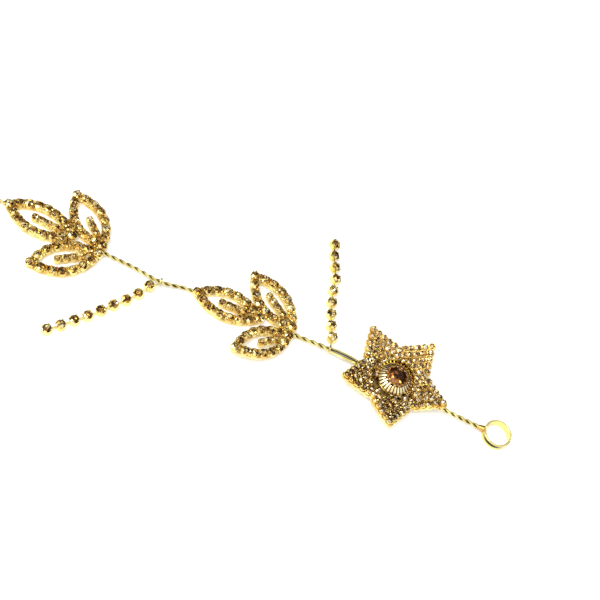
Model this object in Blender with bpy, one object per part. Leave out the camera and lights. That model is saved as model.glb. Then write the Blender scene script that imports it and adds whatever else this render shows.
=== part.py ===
# Hair vine tiara, lying flat: a twisted wire with a band ring at each end carries two sprays of three
# pierced leaves, a star flower and two strands of cup chain. Metres, +Z up, resting on Z = 0.
# Built from left to right along +X, then centred on the origin.
import math

import bpy
from mathutils import Matrix, Vector
from mathutils.geometry import delaunay_2d_cdt

MM = 0.001
CLEARANCE = 0.3 * MM            # between pieces that touch on the real jewel

RING_DIAMETER = 8.0 * MM        # end rings, across the outside
RING_WALL = 0.55 * MM
RING_HEIGHT = 2.5 * MM
RING_SIDES = 28
SOCKET_REACH = 1.8 * MM         # soldered socket, out from the ring
SOCKET_WALL = 0.35 * MM
SOCKET_DEPTH = 1.5 * MM

WIRE_WIDTH = 1.0 * MM           # the two strands side by side
WIRE_THICKNESS = 0.5 * MM       # one strand
WIRE_TWIST = 4.6 * MM           # length of one full turn
TWIST_STEPS = 5                 # sections in one full turn
WIRE_SEAT = 2.1 * MM            # wire inside the edge of the motif that holds it
END_WIRE = 12.0 * MM            # bare wire between an end ring and its motif
LONG_WIRE = 26.0 * MM           # bare wire between the two sprays
MIDDLE_WIRE = 19.9 * MM         # bare wire between the right spray and the flower

LEAF_LENGTH = 18.2 * MM         # first stone to last stone of the nominal leaf
LEAF_WIDTH = 8.0 * MM           # row to row of the nominal leaf
LEAF_STONE = 2.4 * MM
RIB_STONE = 1.85 * MM
SETTING_RIM = 0.12 * MM         # metal round each stone
SETTING_GAP = 0.2 * MM          # between neighbouring settings in a row
SETTING_HEIGHT = 2.0 * MM
CROWN_HEIGHT = 0.55 * MM        # stone above its setting
TABLE_SHARE = 0.55              # flat top of a cut stone, of its width
RIB_START = 0.39                # first and last stone of the midrib, along the leaf from its tip
RIB_END = 0.74

FLOWER_REACH = 15.0 * MM        # flower centre to the stone at a petal's tip
FLOWER_TURN = -9.0              # degrees, heading of the petal that meets the right wire
FLOWER_STONE = 1.65 * MM
FLOWER_SPACING = 0.25 * MM     # between neighbouring stones
BULGE_SHARE = 0.64              # each setting's half width, of the stones' spacing
FLOWER_HEIGHT = 1.5 * MM
FLOWER_CROWN = 0.45 * MM
FLOWER_RISE = 2.6 * MM          # petal tips above the flower's middle
RISE_POWER = 2.5
PETALS = 5
PETAL_SPREAD = 36.0             # degrees, from a petal's middle line to its side

CENTRE_STONE = 5.1 * MM
FLUTE_DIAMETER = 9.8 * MM       # fluted ring round the centre stone
FLUTES = 16
FLUTE_DEPTH = 0.25 * MM
FLUTE_FOOT = 1.9 * MM           # height of the ring's outer edge
FLUTE_TOP = 2.9 * MM            # height of its inner edge, where the stone sits
CENTRE_CROWN = 0.75 * MM
HUB_GAP = 0.6 * MM              # open gap between the fluted ring and the field of stones
DISC_OVERLAP = 0.7 * MM         # backing disc under the field of stones
DISC_THICKNESS = 0.5 * MM

CUPS = 9                        # in each strand
CUP_DIAMETER = 3.0 * MM
CUP_HEIGHT = 1.5 * MM
CUP_PITCH = 3.85 * MM
CUP_FLOOR = 0.3 * MM
CUP_ROOM = 0.8 * MM             # height of the room inside a cup
LINK_THICKNESS = 0.3 * MM
LINK_WIDTH = 0.4 * MM
HEAD_WIDTH = 1.4 * MM           # wider than the slot, so the cup holds it
HEAD_LENGTH = 0.45 * MM
HEAD_PLACE = 0.55 * MM          # head's middle, from the middle of its cup
SLOT_WIDTH = 1.1 * MM
HOOK_WIRE = 0.4 * MM            # round wire of the loop that hangs a strand on the vine
KNOT_HEIGHT = 1.45 * MM         # vine wire above the ground where a strand hangs on it

# How far each piece lies to the side of a straight line, as shares of LEAF_LENGTH.
SIDEWAYS = {"left_ring": -0.07, "left_spray": -0.126, "right_spray": -0.066, "flower": -0.082,
            "right_ring": -0.23, "first_knot": -0.198, "second_knot": -0.066}
# Each leaf: heading in degrees from its base, length and width as shares of the nominal leaf. The
# first leaf lies in the fork of the other two.
LEFT_LEAVES = ((176.7, 1.06, 1.02), (137.5, 0.96, 1.0), (216.0, 1.01, 1.02))
RIGHT_LEAVES = ((181.2, 1.01, 0.96), (146.5, 0.995, 0.97), (222.5, 0.91, 0.93))
# How far a spray's upper and lower leaf tips curl off the ground, as shares of SETTING_HEIGHT.
LEFT_CURL = (0.0, 0.0)
RIGHT_CURL = (0.4, 0.9)
# Where each strand hangs, as a share of its bare wire, and the headings in degrees of its nine
# steps away from the wire, and how far its cups lean to the right.
STRAND_1 = {"hang": 0.66, "heads": (216, 243, 236, 231, 233, 232, 228, 229, 226),
            "leans": (0, 0, 0, 0, 0, 0, 0, 0, 0)}
STRAND_2 = {"hang": 0.52, "heads": (99, 111, 108, 107, 105, 100, 113, 114, 106),
            "leans": (0, 0, 0, 4, 10, 18, 24, 28, 30)}
# Height of each cup's foot, as shares of the first cup's.
CUP_FALL = (1.0, 0.5, 0.15, 0, 0, 0, 0, 0, 0)

OCTAGON = math.tan(math.radians(22.5))
UP = Vector((0, 0, 1))


def clear_scene():
    for old in list(bpy.data.objects):
        bpy.data.objects.remove(old, do_unlink=True)


def material(name, colour, roughness, metallic):
    new = bpy.data.materials.new(name)
    new.use_nodes = True
    shader = new.node_tree.nodes["Principled BSDF"]
    shader.inputs["Base Color"].default_value = (*colour, 1)
    shader.inputs["Roughness"].default_value = roughness
    shader.inputs["Metallic"].default_value = metallic
    return new


def add_object(name, mesh, place=None, parent=None):
    new = bpy.data.objects.new(name, mesh)
    bpy.context.scene.collection.objects.link(new)
    new.parent = parent
    if place is not None:
        new.matrix_local = place
    return new


def solid(name, points, faces, materials, stone_faces=()):
    """A mesh from points and faces; the faces numbered in stone_faces take the second material."""
    mesh = bpy.data.meshes.new(name)
    mesh.from_pydata([tuple(p) for p in points], [], faces)
    for each in materials:
        mesh.materials.append(each)
    for index in stone_faces:
        mesh.polygons[index].material_index = 1
    mesh.validate()
    mesh.update()
    return mesh


def direction(degrees):
    return Vector((math.cos(math.radians(degrees)), math.sin(math.radians(degrees))))


def left_of(vector):
    return Vector((-vector.y, vector.x))


def polygon(centre, radius, sides, first=0.0):
    """Corners of a regular polygon, with the first one at the angle first, in radians."""
    steps = (first + math.tau * k / sides for k in range(sides))
    return [centre + Vector((math.cos(a), math.sin(a))) * radius for a in steps]


def octagon(centre, half, along):
    """An octagon half wide each way with a flat side towards along."""
    return polygon(centre, half / math.cos(math.radians(22.5)), 8, along + math.radians(22.5))


def row_outline(centres, half, axis):
    """Outline of a row of settings: a rounded bulge at each, a neck between each two. The end
    settings are squared to the axis, so two rows can share them."""
    corner = half * OCTAGON
    neck = half * 0.5
    left, right = [], []
    last = len(centres) - 1
    for i, centre in enumerate(centres):
        along = axis
        if 0 < i < last:
            along = (centres[i + 1] - centres[i - 1]).normalized()
        side = left_of(along)
        if i == 0:
            left.append(centre - along * half + side * corner)
            right.append(centre - along * half - side * corner)
        else:
            middle = (centres[i - 1] + centre) / 2
            across = left_of((centre - centres[i - 1]).normalized()) * neck
            left.append(middle + across)
            right.append(middle - across)
        for step in (-corner, corner):
            left.append(centre + along * step + side * half)
            right.append(centre + along * step - side * half)
        if i == last:
            left.append(centre + along * half + side * corner)
            right.append(centre + along * half - side * corner)
    return right + left[::-1]


def web(start, end, half):
    """A short bar of solder in plan, from one setting to the next."""
    side = left_of((end - start).normalized()) * half
    return [start - side, end - side, end + side, start + side]


def fill(loops, holes):
    """Triangles that fill the loops, less the holes, by the numbers of the points in order."""
    points, faces = [], []
    for loop in [*loops, *holes]:
        area = sum(a.x * b.y - b.x * a.y for a, b in zip(loop, loop[1:] + loop[:1]))
        numbers = list(range(len(points), len(points) + len(loop)))
        faces.append((numbers if area > 0 else numbers[::-1], area > 0))
        points.extend(loop)
    open_faces = {i for i, (_, outside) in enumerate(faces) if not outside or i >= len(loops)}
    made = delaunay_2d_cdt(points, [], [numbers for numbers, _ in faces], 1, 1e-8)
    _, _, triangles, sources, _, owners = made
    inside = []
    for triangle, owner in zip(triangles, owners):
        if owner and not open_faces.intersection(owner):
            inside.append([sources[v][0] for v in triangle])
    return points, inside


def union_loops(shapes):
    """Edge loops round the union of plan shapes: left-handed outside, right-handed round a hole."""
    points, faces = [], []
    for shape in shapes:
        faces.append(list(range(len(points), len(points) + len(shape))))
        points.extend(shape)
    points, _, triangles, _, _, owners = delaunay_2d_cdt(points, [], faces, 1, 1e-7)
    edges = set()
    for triangle, owner in zip(triangles, owners):
        if owner:
            edges.update(zip(triangle, triangle[1:] + triangle[:1]))
    following = {a: b for a, b in edges if (b, a) not in edges}
    loops = []
    while following:
        start, here = following.popitem()
        loop = [start]
        while here != start:
            loop.append(here)
            here = following.pop(here)
        loops.append(straightened([points[i] for i in loop]))
    return loops


def straightened(loop):
    """The loop without the points that lie on a straight stretch of it."""
    kept = []
    for before, here, after in zip(loop[-1:] + loop[:-1], loop, loop[1:] + loop[:1]):
        one, two = (here - before).normalized(), (after - here).normalized()
        if abs(one.x * two.y - one.y * two.x) > 0.04:
            kept.append(here)
    return kept


def jewelled_plate(name, shapes, stones, foot, height, crown, lift, materials):
    """A plate with the plan of the joined shapes and a cut stone on each place in stones, which
    gives its middle, half width and heading. lift(point) is how far the plate rises there."""
    loops = union_loops(shapes)
    girdles = [octagon(*stone) for stone in stones]
    plan, top = fill(loops, girdles)
    _, bottom = fill(loops, [])
    rim = sum(len(loop) for loop in loops)
    points = [Vector((p.x, p.y, foot + height + lift(p))) for p in plan]
    lower = len(points)
    points += [Vector((p.x, p.y, foot + lift(p))) for p in plan[:rim]]
    faces = list(top)
    faces += [[lower + v for v in reversed(triangle)] for triangle in bottom]
    start = 0
    for loop in loops:
        numbers = range(start, start + len(loop))
        for a, b in zip(numbers, [*numbers[1:], numbers[0]]):
            faces.append([lower + a, lower + b, b, a])
        start += len(loop)
    first_stone = len(faces)
    for girdle, (centre, half, along) in zip(girdles, stones):
        table = len(points)
        level = foot + height + crown + lift(centre)
        points += [Vector((p.x, p.y, level)) for p in octagon(centre, half * TABLE_SHARE, along)]
        faces.append(list(range(table, table + 8)))
        for k in range(8):
            after = (k + 1) % 8
            faces.append([start + k, start + after, table + after, table + k])
        start += len(girdle)
    return solid(name, points, faces, materials, range(first_stone, len(faces)))


def cut(target, name, plan, low, high, frame):
    """Cuts the prism over plan, between the heights low and high, out of the target."""
    count = len(plan)
    points = [Vector((p.x, p.y, z)) for z in (low, high) for p in plan]
    faces = [list(range(count - 1, -1, -1)), list(range(count, 2 * count))]
    faces += [[k, (k + 1) % count, count + (k + 1) % count, count + k] for k in range(count)]
    cutter = add_object(name, solid(name, points, faces, []), frame, target.parent)
    cutter.hide_render = True
    cutter.display_type = "WIRE"
    boolean = target.modifiers.new(name, "BOOLEAN")
    boolean.object = cutter
    boolean.operation = "DIFFERENCE"
    boolean.solver = "EXACT"
    return cutter


def settled(obj, helpers):
    """The object's mesh with its cuts made; the object and its helpers are removed."""
    bpy.context.view_layer.update()
    graph = bpy.context.evaluated_depsgraph_get()
    mesh = bpy.data.meshes.new_from_object(obj.evaluated_get(graph))
    for each in (obj, *helpers):
        bpy.data.objects.remove(each, do_unlink=True)
    return mesh


def leaf_rows(base, heading, length, width):
    """The settings of a leaf: both side rows, from its tip to its base, and its midrib. A side
    bulges from the leaf's axis as a parabola does."""
    axis = direction(heading)
    tip = base + axis * length
    pitch = LEAF_STONE + 2 * SETTING_RIM + SETTING_GAP
    samples = [s / 200 for s in range(201)]
    rows = []
    for side in (1, -1):
        path = [tip - axis * length * s + left_of(axis) * (side * width * 2 * s * (1 - s))
                for s in samples]
        travelled = [0.0]
        for a, b in zip(path, path[1:]):
            travelled.append(travelled[-1] + (b - a).length)
        count = max(2, round(travelled[-1] / pitch))
        row, i = [], 0
        for k in range(count):
            while travelled[i] < travelled[-1] * k / count:
                i += 1
            row.append(path[i])
        rows.append([*row, base])
    rib_pitch = RIB_STONE + 2 * SETTING_RIM
    count = 1 + int((RIB_END - RIB_START) * length / rib_pitch)
    rib = [tip - axis * (length * RIB_END - k * rib_pitch) for k in range(count)]
    return rows, rib


def spray(leaves):
    """Plan of a spray with its fork at the origin: the shapes, the stones and the first leaf's tip."""
    half = LEAF_STONE / 2 + SETTING_RIM
    rib_half = RIB_STONE / 2 + SETTING_RIM
    pitch = 2 * half + SETTING_GAP
    built = []
    for (heading, length, width), side in zip(leaves[1:], (1, -1)):
        base = Vector((0, side * pitch * 0.52))
        built.append((heading, *leaf_rows(base, heading, length * LEAF_LENGTH, width * LEAF_WIDTH)))
    heading, length, width = leaves[0]
    others = [c for _, rows, _ in built for row in rows for c in row]
    reach = pitch
    while True:
        rows, rib = leaf_rows(direction(heading) * reach, heading, length * LEAF_LENGTH,
                              width * LEAF_WIDTH)
        nearest = min((a - b).length for row in rows for a in row for b in others)
        if nearest >= pitch * 0.97:
            break
        reach += pitch / 100
    built.insert(0, (heading, rows, rib))
    shapes, stones = [], []
    for heading, rows, rib in built:
        axis = direction(heading)
        turn = math.radians(heading)
        for row in rows:
            shapes.append(row_outline(row, half, -axis))
            for before, here, after in zip(row, row[1:], row[2:]):
                along = after - before
                stones.append((here, LEAF_STONE / 2, math.atan2(along.y, along.x)))
            shapes.append(web(rib[0], row[-2], rib_half / 2))
        stones += [(end, LEAF_STONE / 2, turn) for end in (rows[0][0], rows[0][-1])]
        shapes.append(row_outline(rib, rib_half, axis))
        stones += [(here, RIB_STONE / 2, turn) for here in rib]
    for i, (_, rows, _) in enumerate(built):
        for _, others, _ in built[i + 1:]:
            for a in (c for row in rows for c in row):
                for b in (c for row in others for c in row):
                    if (a - b).length < pitch * 1.15:
                        shapes.append(web(a, b, half / 2))
    tip = built[0][1][0][0]
    return shapes, stones, tip


def petal_rows():
    """Places of a petal's stones, as distance out and to the side, from its tip inward. Each row has
    one stone more than the last, or one fewer where the petal's share of the circle is full. Also
    how far out the stone between two petals is, tucked in behind the end of the widest row."""
    pitch = FLOWER_STONE + FLOWER_SPACING
    row_pitch = pitch * math.cos(math.radians(PETAL_SPREAD))
    side_pitch = 2 * pitch * math.sin(math.radians(PETAL_SPREAD))
    border = direction(180 / PETALS)
    depth = FLOWER_REACH - FLUTE_DIAMETER / 2 - HUB_GAP - pitch * BULGE_SHARE
    stones, count, widest = [], 0, 0
    for row in range(1 + int(depth / row_pitch)):
        radius = FLOWER_REACH - row * row_pitch
        room = (radius * border.y - pitch * 0.75) / border.x
        fitting = 1 + int(2 * room / side_pitch)
        count = max(1, count + 1 if count < fitting else count - 1)
        ends = (count - 1) / 2 * side_pitch
        stones += [Vector((radius, k * side_pitch - ends)) for k in range(count)]
        if count > widest:
            widest = count
            notch = stones[-1].dot(border)
    least = (FLOWER_STONE / math.cos(math.radians(22.5)) + pitch) / 2
    while min((stone - border * notch).length for stone in stones) < least:
        notch -= pitch / 100
    return stones, notch


def flower_plan():
    """Middle and heading of each stone of the flower, the bars that join each notch stone to the
    petals beside it, and how far the notch stones are from the middle."""
    stones, notch = petal_rows()
    step = 360 / PETALS
    places, bars = [], []
    for heading in (FLOWER_TURN + petal * step for petal in range(PETALS)):
        out = direction(heading)
        petal = [out * stone.x + left_of(out) * stone.y for stone in stones]
        tucked = direction(heading + step / 2) * notch
        nearest = min(petal, key=lambda place: (place - tucked).length)
        mirrored = tucked * (2 * nearest.dot(tucked) / tucked.length_squared) - nearest
        places += [(place, heading) for place in petal]
        places.append((tucked, heading + step / 2))
        bars += [(tucked, nearest), (tucked, mirrored)]
    return places, bars, notch


def flower_lift(point):
    return FLOWER_RISE * (point.length / FLOWER_REACH) ** RISE_POWER


def smooth_route(points, spacing):
    """Points about spacing apart on a smooth curve through the given ones."""
    ends = [points[0] * 2 - points[1], *points, points[-1] * 2 - points[-2]]
    dense = []
    for a, b, c, d in zip(ends, ends[1:], ends[2:], ends[3:]):
        for k in range(40):
            t = k / 40
            dense.append(0.5 * (2 * b + (c - a) * t + (2 * a - 5 * b + 4 * c - d) * t * t
                                + (3 * b - a - 3 * c + d) * t ** 3))
    dense.append(points[-1])
    travelled = [0.0]
    for a, b in zip(dense, dense[1:]):
        travelled.append(travelled[-1] + (b - a).length)
    count = max(3, round(travelled[-1] / spacing))
    route, i = [], 0
    for k in range(count + 1):
        while i < len(dense) - 1 and travelled[i] < travelled[-1] * k / count - 1e-9:
            i += 1
        route.append(dense[i])
    return route


def twisted_wire(name, points, metal):
    """A pair of strands twisted together along the route, as one twisted flat section."""
    route = smooth_route(points, WIRE_TWIST / TWIST_STEPS)
    a, b = WIRE_WIDTH / 2, WIRE_THICKNESS / 2
    section = ((a, 0), (a / 2, b), (-a / 2, b), (-a, 0), (-a / 2, -b), (a / 2, -b))
    corners, faces = [], []
    for i, here in enumerate(route):
        along = (route[min(i + 1, len(route) - 1)] - route[max(i - 1, 0)]).normalized()
        side = UP.cross(along).normalized()
        over = along.cross(side)
        turn = math.tau * i / TWIST_STEPS
        for x, y in section:
            u = x * math.cos(turn) - y * math.sin(turn)
            v = x * math.sin(turn) + y * math.cos(turn)
            corners.append(here + side * u + over * v)
    count = len(section)
    for i in range(len(route) - 1):
        for k in range(count):
            near, far = i * count, (i + 1) * count
            after = (k + 1) % count
            faces.append([near + k, near + after, far + after])
            faces.append([near + k, far + after, far + k])
    faces.append(list(range(count - 1, -1, -1)))
    faces.append(list(range(len(corners) - count, len(corners))))
    return solid(name, corners, faces, [metal])


def end_ring(name, heading, metal, parent, place):
    """A band ring with a tapered socket on its side towards heading."""
    outer = RING_DIAMETER / 2
    inner = outer - RING_WALL
    rings = ((outer, 0), (outer, RING_HEIGHT), (inner, RING_HEIGHT), (inner, 0))
    points, faces = [], []
    for radius, z in rings:
        points += [p.to_3d() + UP * z for p in polygon(Vector((0, 0)), radius, RING_SIDES)]
    for ring in range(4):
        near, far = ring * RING_SIDES, (ring + 1) % 4 * RING_SIDES
        for k in range(RING_SIDES):
            after = (k + 1) % RING_SIDES
            faces.append([near + k, near + after, far + after, far + k])
    band = add_object(name, solid(name, points, faces, [metal]), place, parent)
    bore = WIRE_WIDTH / 2 + CLEARANCE
    start, stop = outer - RING_WALL * 0.6, outer + SOCKET_REACH
    side = direction(heading)
    frame = place @ Matrix((
        (side.x, -side.y, 0, 0), (side.y, side.x, 0, 0), (0, 0, 1, RING_HEIGHT / 2), (0, 0, 0, 1)))
    fat = (bore + SOCKET_WALL) / math.cos(math.radians(22.5))
    shapes = ((name + "_socket", start, stop, fat * 0.95, fat, "UNION"),
              (name + "_bore", stop - SOCKET_DEPTH, stop + RING_WALL, bore * 1.08, bore * 1.08,
               "DIFFERENCE"))
    for helper_name, near, far, near_radius, far_radius, operation in shapes:
        helper = add_object(helper_name, barrel(helper_name, near, far, near_radius, far_radius),
                            frame, parent)
        helper.hide_render = True
        helper.display_type = "WIRE"
        boolean = band.modifiers.new(helper_name, "BOOLEAN")
        boolean.object = helper
        boolean.operation = operation
        boolean.solver = "EXACT"
    return band


def barrel(name, near, far, near_radius, far_radius):
    """An eight-sided taper along +X."""
    points = []
    for x, radius in ((near, near_radius), (far, far_radius)):
        ring = polygon(Vector((0, 0)), radius, 8, math.radians(22.5))
        points += [Vector((x, p.x, p.y)) for p in ring]
    faces = [list(range(7, -1, -1)), list(range(8, 16))]
    faces += [[k, (k + 1) % 8, 8 + (k + 1) % 8, 8 + k] for k in range(8)]
    return solid(name, points, faces, [])


def flower_centre(name, materials):
    """Backing disc, stem, fluted ring and cut stone, as one soldered and set piece."""
    count = 2 * FLUTES
    outer = FLUTE_DIAMETER / 2
    seat = CENTRE_STONE / 2 + SETTING_RIM * 2
    stem = outer - HUB_GAP
    disc = outer + HUB_GAP + DISC_OVERLAP
    profile = ((disc, 0, 0), (disc, DISC_THICKNESS, 0), (stem, DISC_THICKNESS, 0),
               (stem, FLUTE_FOOT - FLUTE_DEPTH * 2, 0), (outer, FLUTE_FOOT - FLUTE_DEPTH, 0),
               (outer, FLUTE_FOOT, FLUTE_DEPTH), (seat, FLUTE_TOP, FLUTE_DEPTH))
    points, faces = [], []
    for radius, z, depth in profile:
        ring = polygon(Vector((0, 0)), radius, count)
        points += [p.to_3d() + UP * (z - depth * (k % 2)) for k, p in enumerate(ring)]
    for ring in range(len(profile) - 1):
        near, far = ring * count, (ring + 1) * count
        for k in range(count):
            after = (k + 1) % count
            faces.append([near + k, near + after, far + after, far + k])
    faces.append(list(range(count - 1, -1, -1)))
    edge = polygon(Vector((0, 0)), seat, count)
    girdle = polygon(Vector((0, 0)), CENTRE_STONE / 2, 12)
    _, ledge = fill([edge], [girdle])
    last = len(points) - count
    faces += [[last + v for v in triangle] for triangle in ledge]
    points += [p.to_3d() + UP * FLUTE_TOP for p in girdle]
    stone = len(faces)
    table = polygon(Vector((0, 0)), CENTRE_STONE / 2 * TABLE_SHARE, 12)
    points += [p.to_3d() + UP * (FLUTE_TOP + CENTRE_CROWN) for p in table]
    ring = last + count
    for k in range(12):
        after = (k + 1) % 12
        faces.append([ring + k, ring + after, ring + 12 + after, ring + 12 + k])
    faces.append(list(range(ring + 12, ring + 24)))
    return solid(name, points, faces, materials, range(stone, len(faces)))


def cup_mesh(materials):
    """An eight-sided cup with a cut stone set in it and a room that holds the ends of two links."""
    side = CUP_DIAMETER / 2
    rings = ((side, 0), (side, CUP_HEIGHT), (side * TABLE_SHARE, CUP_HEIGHT + CROWN_HEIGHT))
    points, faces = [], [list(range(7, -1, -1)), list(range(16, 24))]
    for radius, z in rings:
        points += [p.to_3d() + UP * z for p in polygon(Vector((0, 0)), radius, 8)]
    for near in (0, 8):
        faces += [[near + k, near + (k + 1) % 8, near + 8 + (k + 1) % 8, near + 8 + k]
                  for k in range(8)]
    stone = [1, *range(10, 18)]
    cup = add_object("cup_pattern", solid("cup_pattern", points, faces, materials, stone))
    slot = SLOT_WIDTH / 2
    room = HEAD_WIDTH / 2 + CLEARANCE
    deep = HEAD_PLACE + HEAD_LENGTH / 2 + CLEARANCE * 0.6
    plan = [Vector(p) for p in ((deep, slot), (deep, room), (-deep, room), (-deep, slot),
                                (-side * 1.1, slot), (-side * 1.1, -slot), (-deep, -slot),
                                (-deep, -room), (deep, -room), (deep, -slot),
                                (side * 1.1, -slot), (side * 1.1, slot))]
    cutter = cut(cup, "cup_room", plan, CUP_FLOOR, CUP_FLOOR + CUP_ROOM, Matrix())
    return settled(cup, [cutter])


def link_mesh(metal):
    """A flat link along X between two cups, a wide head at each end."""
    far = CUP_PITCH / 2 - HEAD_PLACE + HEAD_LENGTH / 2
    near = far - HEAD_LENGTH
    head, bar = HEAD_WIDTH / 2, LINK_WIDTH / 2
    plan = ((far, -head), (far, head), (near, head), (near, bar), (-near, bar), (-near, head),
            (-far, head), (-far, -head), (-near, -head), (-near, -bar), (near, -bar), (near, -head))
    count = len(plan)
    points = [Vector((x, y, z)) for z in (-LINK_THICKNESS / 2, LINK_THICKNESS / 2) for x, y in plan]
    faces = [list(range(count - 1, -1, -1)), list(range(count, 2 * count))]
    faces += [[k, (k + 1) % count, count + (k + 1) % count, count + k] for k in range(count)]
    return solid("link_pattern", points, faces, [metal])


def hook_mesh(reach, turn, metal):
    """A head in the first cup at X = 0, a bar along X, and a loop round the vine wire at the end.
    turn is the vine wire's heading against the bar's, in radians."""
    loop_inner = WIRE_WIDTH / 2 + CLEARANCE
    loop_outer = loop_inner + HOOK_WIRE
    points, faces = [], []
    across = Vector((math.cos(turn), math.sin(turn), 0)) * (HOOK_WIRE / 2)
    out = Vector((math.sin(turn), -math.cos(turn), 0))
    if out.x > 0:
        out = -out
    middle = Vector((reach, 0, 0)) - out * (loop_inner + HOOK_WIRE / 2)
    count = 10
    for radius, shift in ((loop_outer, -1), (loop_outer, 1), (loop_inner, 1), (loop_inner, -1)):
        for k in range(count):
            angle = math.tau * (k + 0.5) / count
            points.append(middle + across * shift
                          + (out * math.cos(angle) + UP * math.sin(angle)) * radius)
    for ring in range(4):
        near, far = ring * count, (ring + 1) % 4 * count
        for k in range(count):
            after = (k + 1) % count
            faces.append([near + k, near + after, far + after, far + k])
    loop = solid("hook_loop", points, faces, [metal])
    if sum(f.normal.dot(f.center - middle) for f in loop.polygons[:count]) < 0:
        loop.flip_normals()
    loop_object = add_object("hook_loop", loop)
    start = HEAD_PLACE - HEAD_LENGTH / 2
    neck = start + HEAD_LENGTH
    head, bar = HEAD_WIDTH / 2, LINK_WIDTH / 2
    plan = ((start, -head), (neck, -head), (neck, -bar), (reach, -bar), (reach, bar), (neck, bar),
            (neck, head), (start, head))
    points = [Vector((x, y, z)) for z in (-LINK_THICKNESS / 2, LINK_THICKNESS / 2) for x, y in plan]
    faces = [list(range(7, -1, -1)), list(range(8, 16))]
    faces += [[k, (k + 1) % 8, 8 + (k + 1) % 8, 8 + k] for k in range(8)]
    bar_object = add_object("hook_bar", solid("hook_bar", points, faces, [metal]))
    boolean = bar_object.modifiers.new("loop", "BOOLEAN")
    boolean.object = loop_object
    boolean.operation = "UNION"
    boolean.solver = "EXACT"
    return settled(bar_object, [loop_object])


def frame_along(place, along, lean=0.0):
    """A frame at place with X along the given direction and Z up, leaning to the right of it."""
    x = along.normalized()
    y = UP.cross(x).normalized()
    z = x.cross(y)
    tilt = Matrix.Rotation(math.radians(lean), 3, x)
    y, z = tilt @ y, tilt @ z
    return Matrix(((x.x, y.x, z.x, place.x), (x.y, y.y, z.y, place.y), (x.z, y.z, z.z, place.z),
                   (0, 0, 0, 1)))


def strand(name, plan, knot, wire_heading, side, meshes, parent):
    """A strand of cup chain hung on the vine at the knot. Its first cup sits level with the knot
    and the rest fall to the ground."""
    cup, link, metal = meshes
    room_middle = CUP_FLOOR + CUP_ROOM / 2
    loop = WIRE_WIDTH / 2 + CLEARANCE + HOOK_WIRE / 2
    out = direction(wire_heading + 90 * side)
    hang = knot + out.to_3d() * loop
    reach = HEAD_PLACE + CUP_DIAMETER / 2 + CLEARANCE + HOOK_WIRE
    first_foot = KNOT_HEIGHT - room_middle
    places = []
    point = Vector((hang.x, hang.y))
    for heading, fall, step in zip(plan["heads"], CUP_FALL, [reach] + [CUP_PITCH] * (CUPS - 1)):
        point = point + direction(heading) * step
        places.append(point.to_3d() + UP * first_foot * fall)
    for i in range(1, len(places)):
        step = places[i] - places[i - 1]
        places[i] = places[i - 1] + step * (CUP_PITCH / step.length)
    frames = []
    for i, place in enumerate(places):
        before = places[i - 1] if i else Vector((hang.x, hang.y, places[0].z))
        after = places[min(i + 1, len(places) - 1)]
        lean = plan["leans"][i]
        lowest = UP * (CUP_DIAMETER / 2 * math.sin(math.radians(abs(lean))))
        frames.append(frame_along(place + lowest, after - before, lean))
    for i, frame in enumerate(frames):
        add_object(f"{name}_cup_{i + 1}", cup, frame, parent)
    for i, (near, far) in enumerate(zip(frames, frames[1:])):
        a = near @ (UP * room_middle)
        b = far @ (UP * room_middle)
        lean = (plan["leans"][i] + plan["leans"][i + 1]) / 2
        add_object(f"{name}_link_{i + 1}", link, frame_along((a + b) / 2, b - a, lean), parent)
    start = frames[0] @ (UP * room_middle)
    bar = Vector((hang.x, hang.y, start.z)) - start
    turn = math.radians(wire_heading) - math.atan2(bar.y, bar.x)
    hook = hook_mesh(bar.length, turn, metal)
    add_object(f"{name}_hook", hook, frame_along(start, bar), parent)


def seat_frame(point, heading):
    side = direction(heading)
    return Matrix(((side.x, -side.y, 0, point.x), (side.y, side.x, 0, point.y), (0, 0, 1, 0),
                   (0, 0, 0, 1)))


def make_spray(name, leaves, curl, left_edge, y, materials, parent):
    """Builds a spray with its left edge at left_edge. Returns the places of its two wire seats."""
    shapes, stones, tip = spray(leaves)
    half = LEAF_STONE / 2 + SETTING_RIM
    origin = Vector((left_edge + half - tip.x, y))
    reach = LEAF_LENGTH * 0.66

    def lift(point):
        share = curl[0] if point.y > 0 else curl[1]
        return share * SETTING_HEIGHT * min(abs(point.y) / reach, 1.2) ** 2

    mesh = jewelled_plate(name, shapes, stones, 0, SETTING_HEIGHT, CROWN_HEIGHT, lift, materials)
    made = add_object(name, mesh, Matrix.Translation(origin.to_3d()), parent)
    depth = WIRE_SEAT + CLEARANCE
    room = WIRE_WIDTH / 2 + CLEARANCE
    plan = [Vector(p) for p in ((-half, -room), (depth, -room), (depth, room), (-half, room))]
    tip_edge = origin + tip - direction(leaves[0][0] - 180) * half
    fork_edge = origin + Vector((half, 0))
    top = 2 * CLEARANCE + WIRE_WIDTH
    cut(made, name + "_tip_seat", plan, -room, top, seat_frame(tip_edge, leaves[0][0] - 180))
    cut(made, name + "_fork_seat", plan, -room, top, seat_frame(fork_edge, 180))
    return tip_edge, fork_edge


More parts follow.
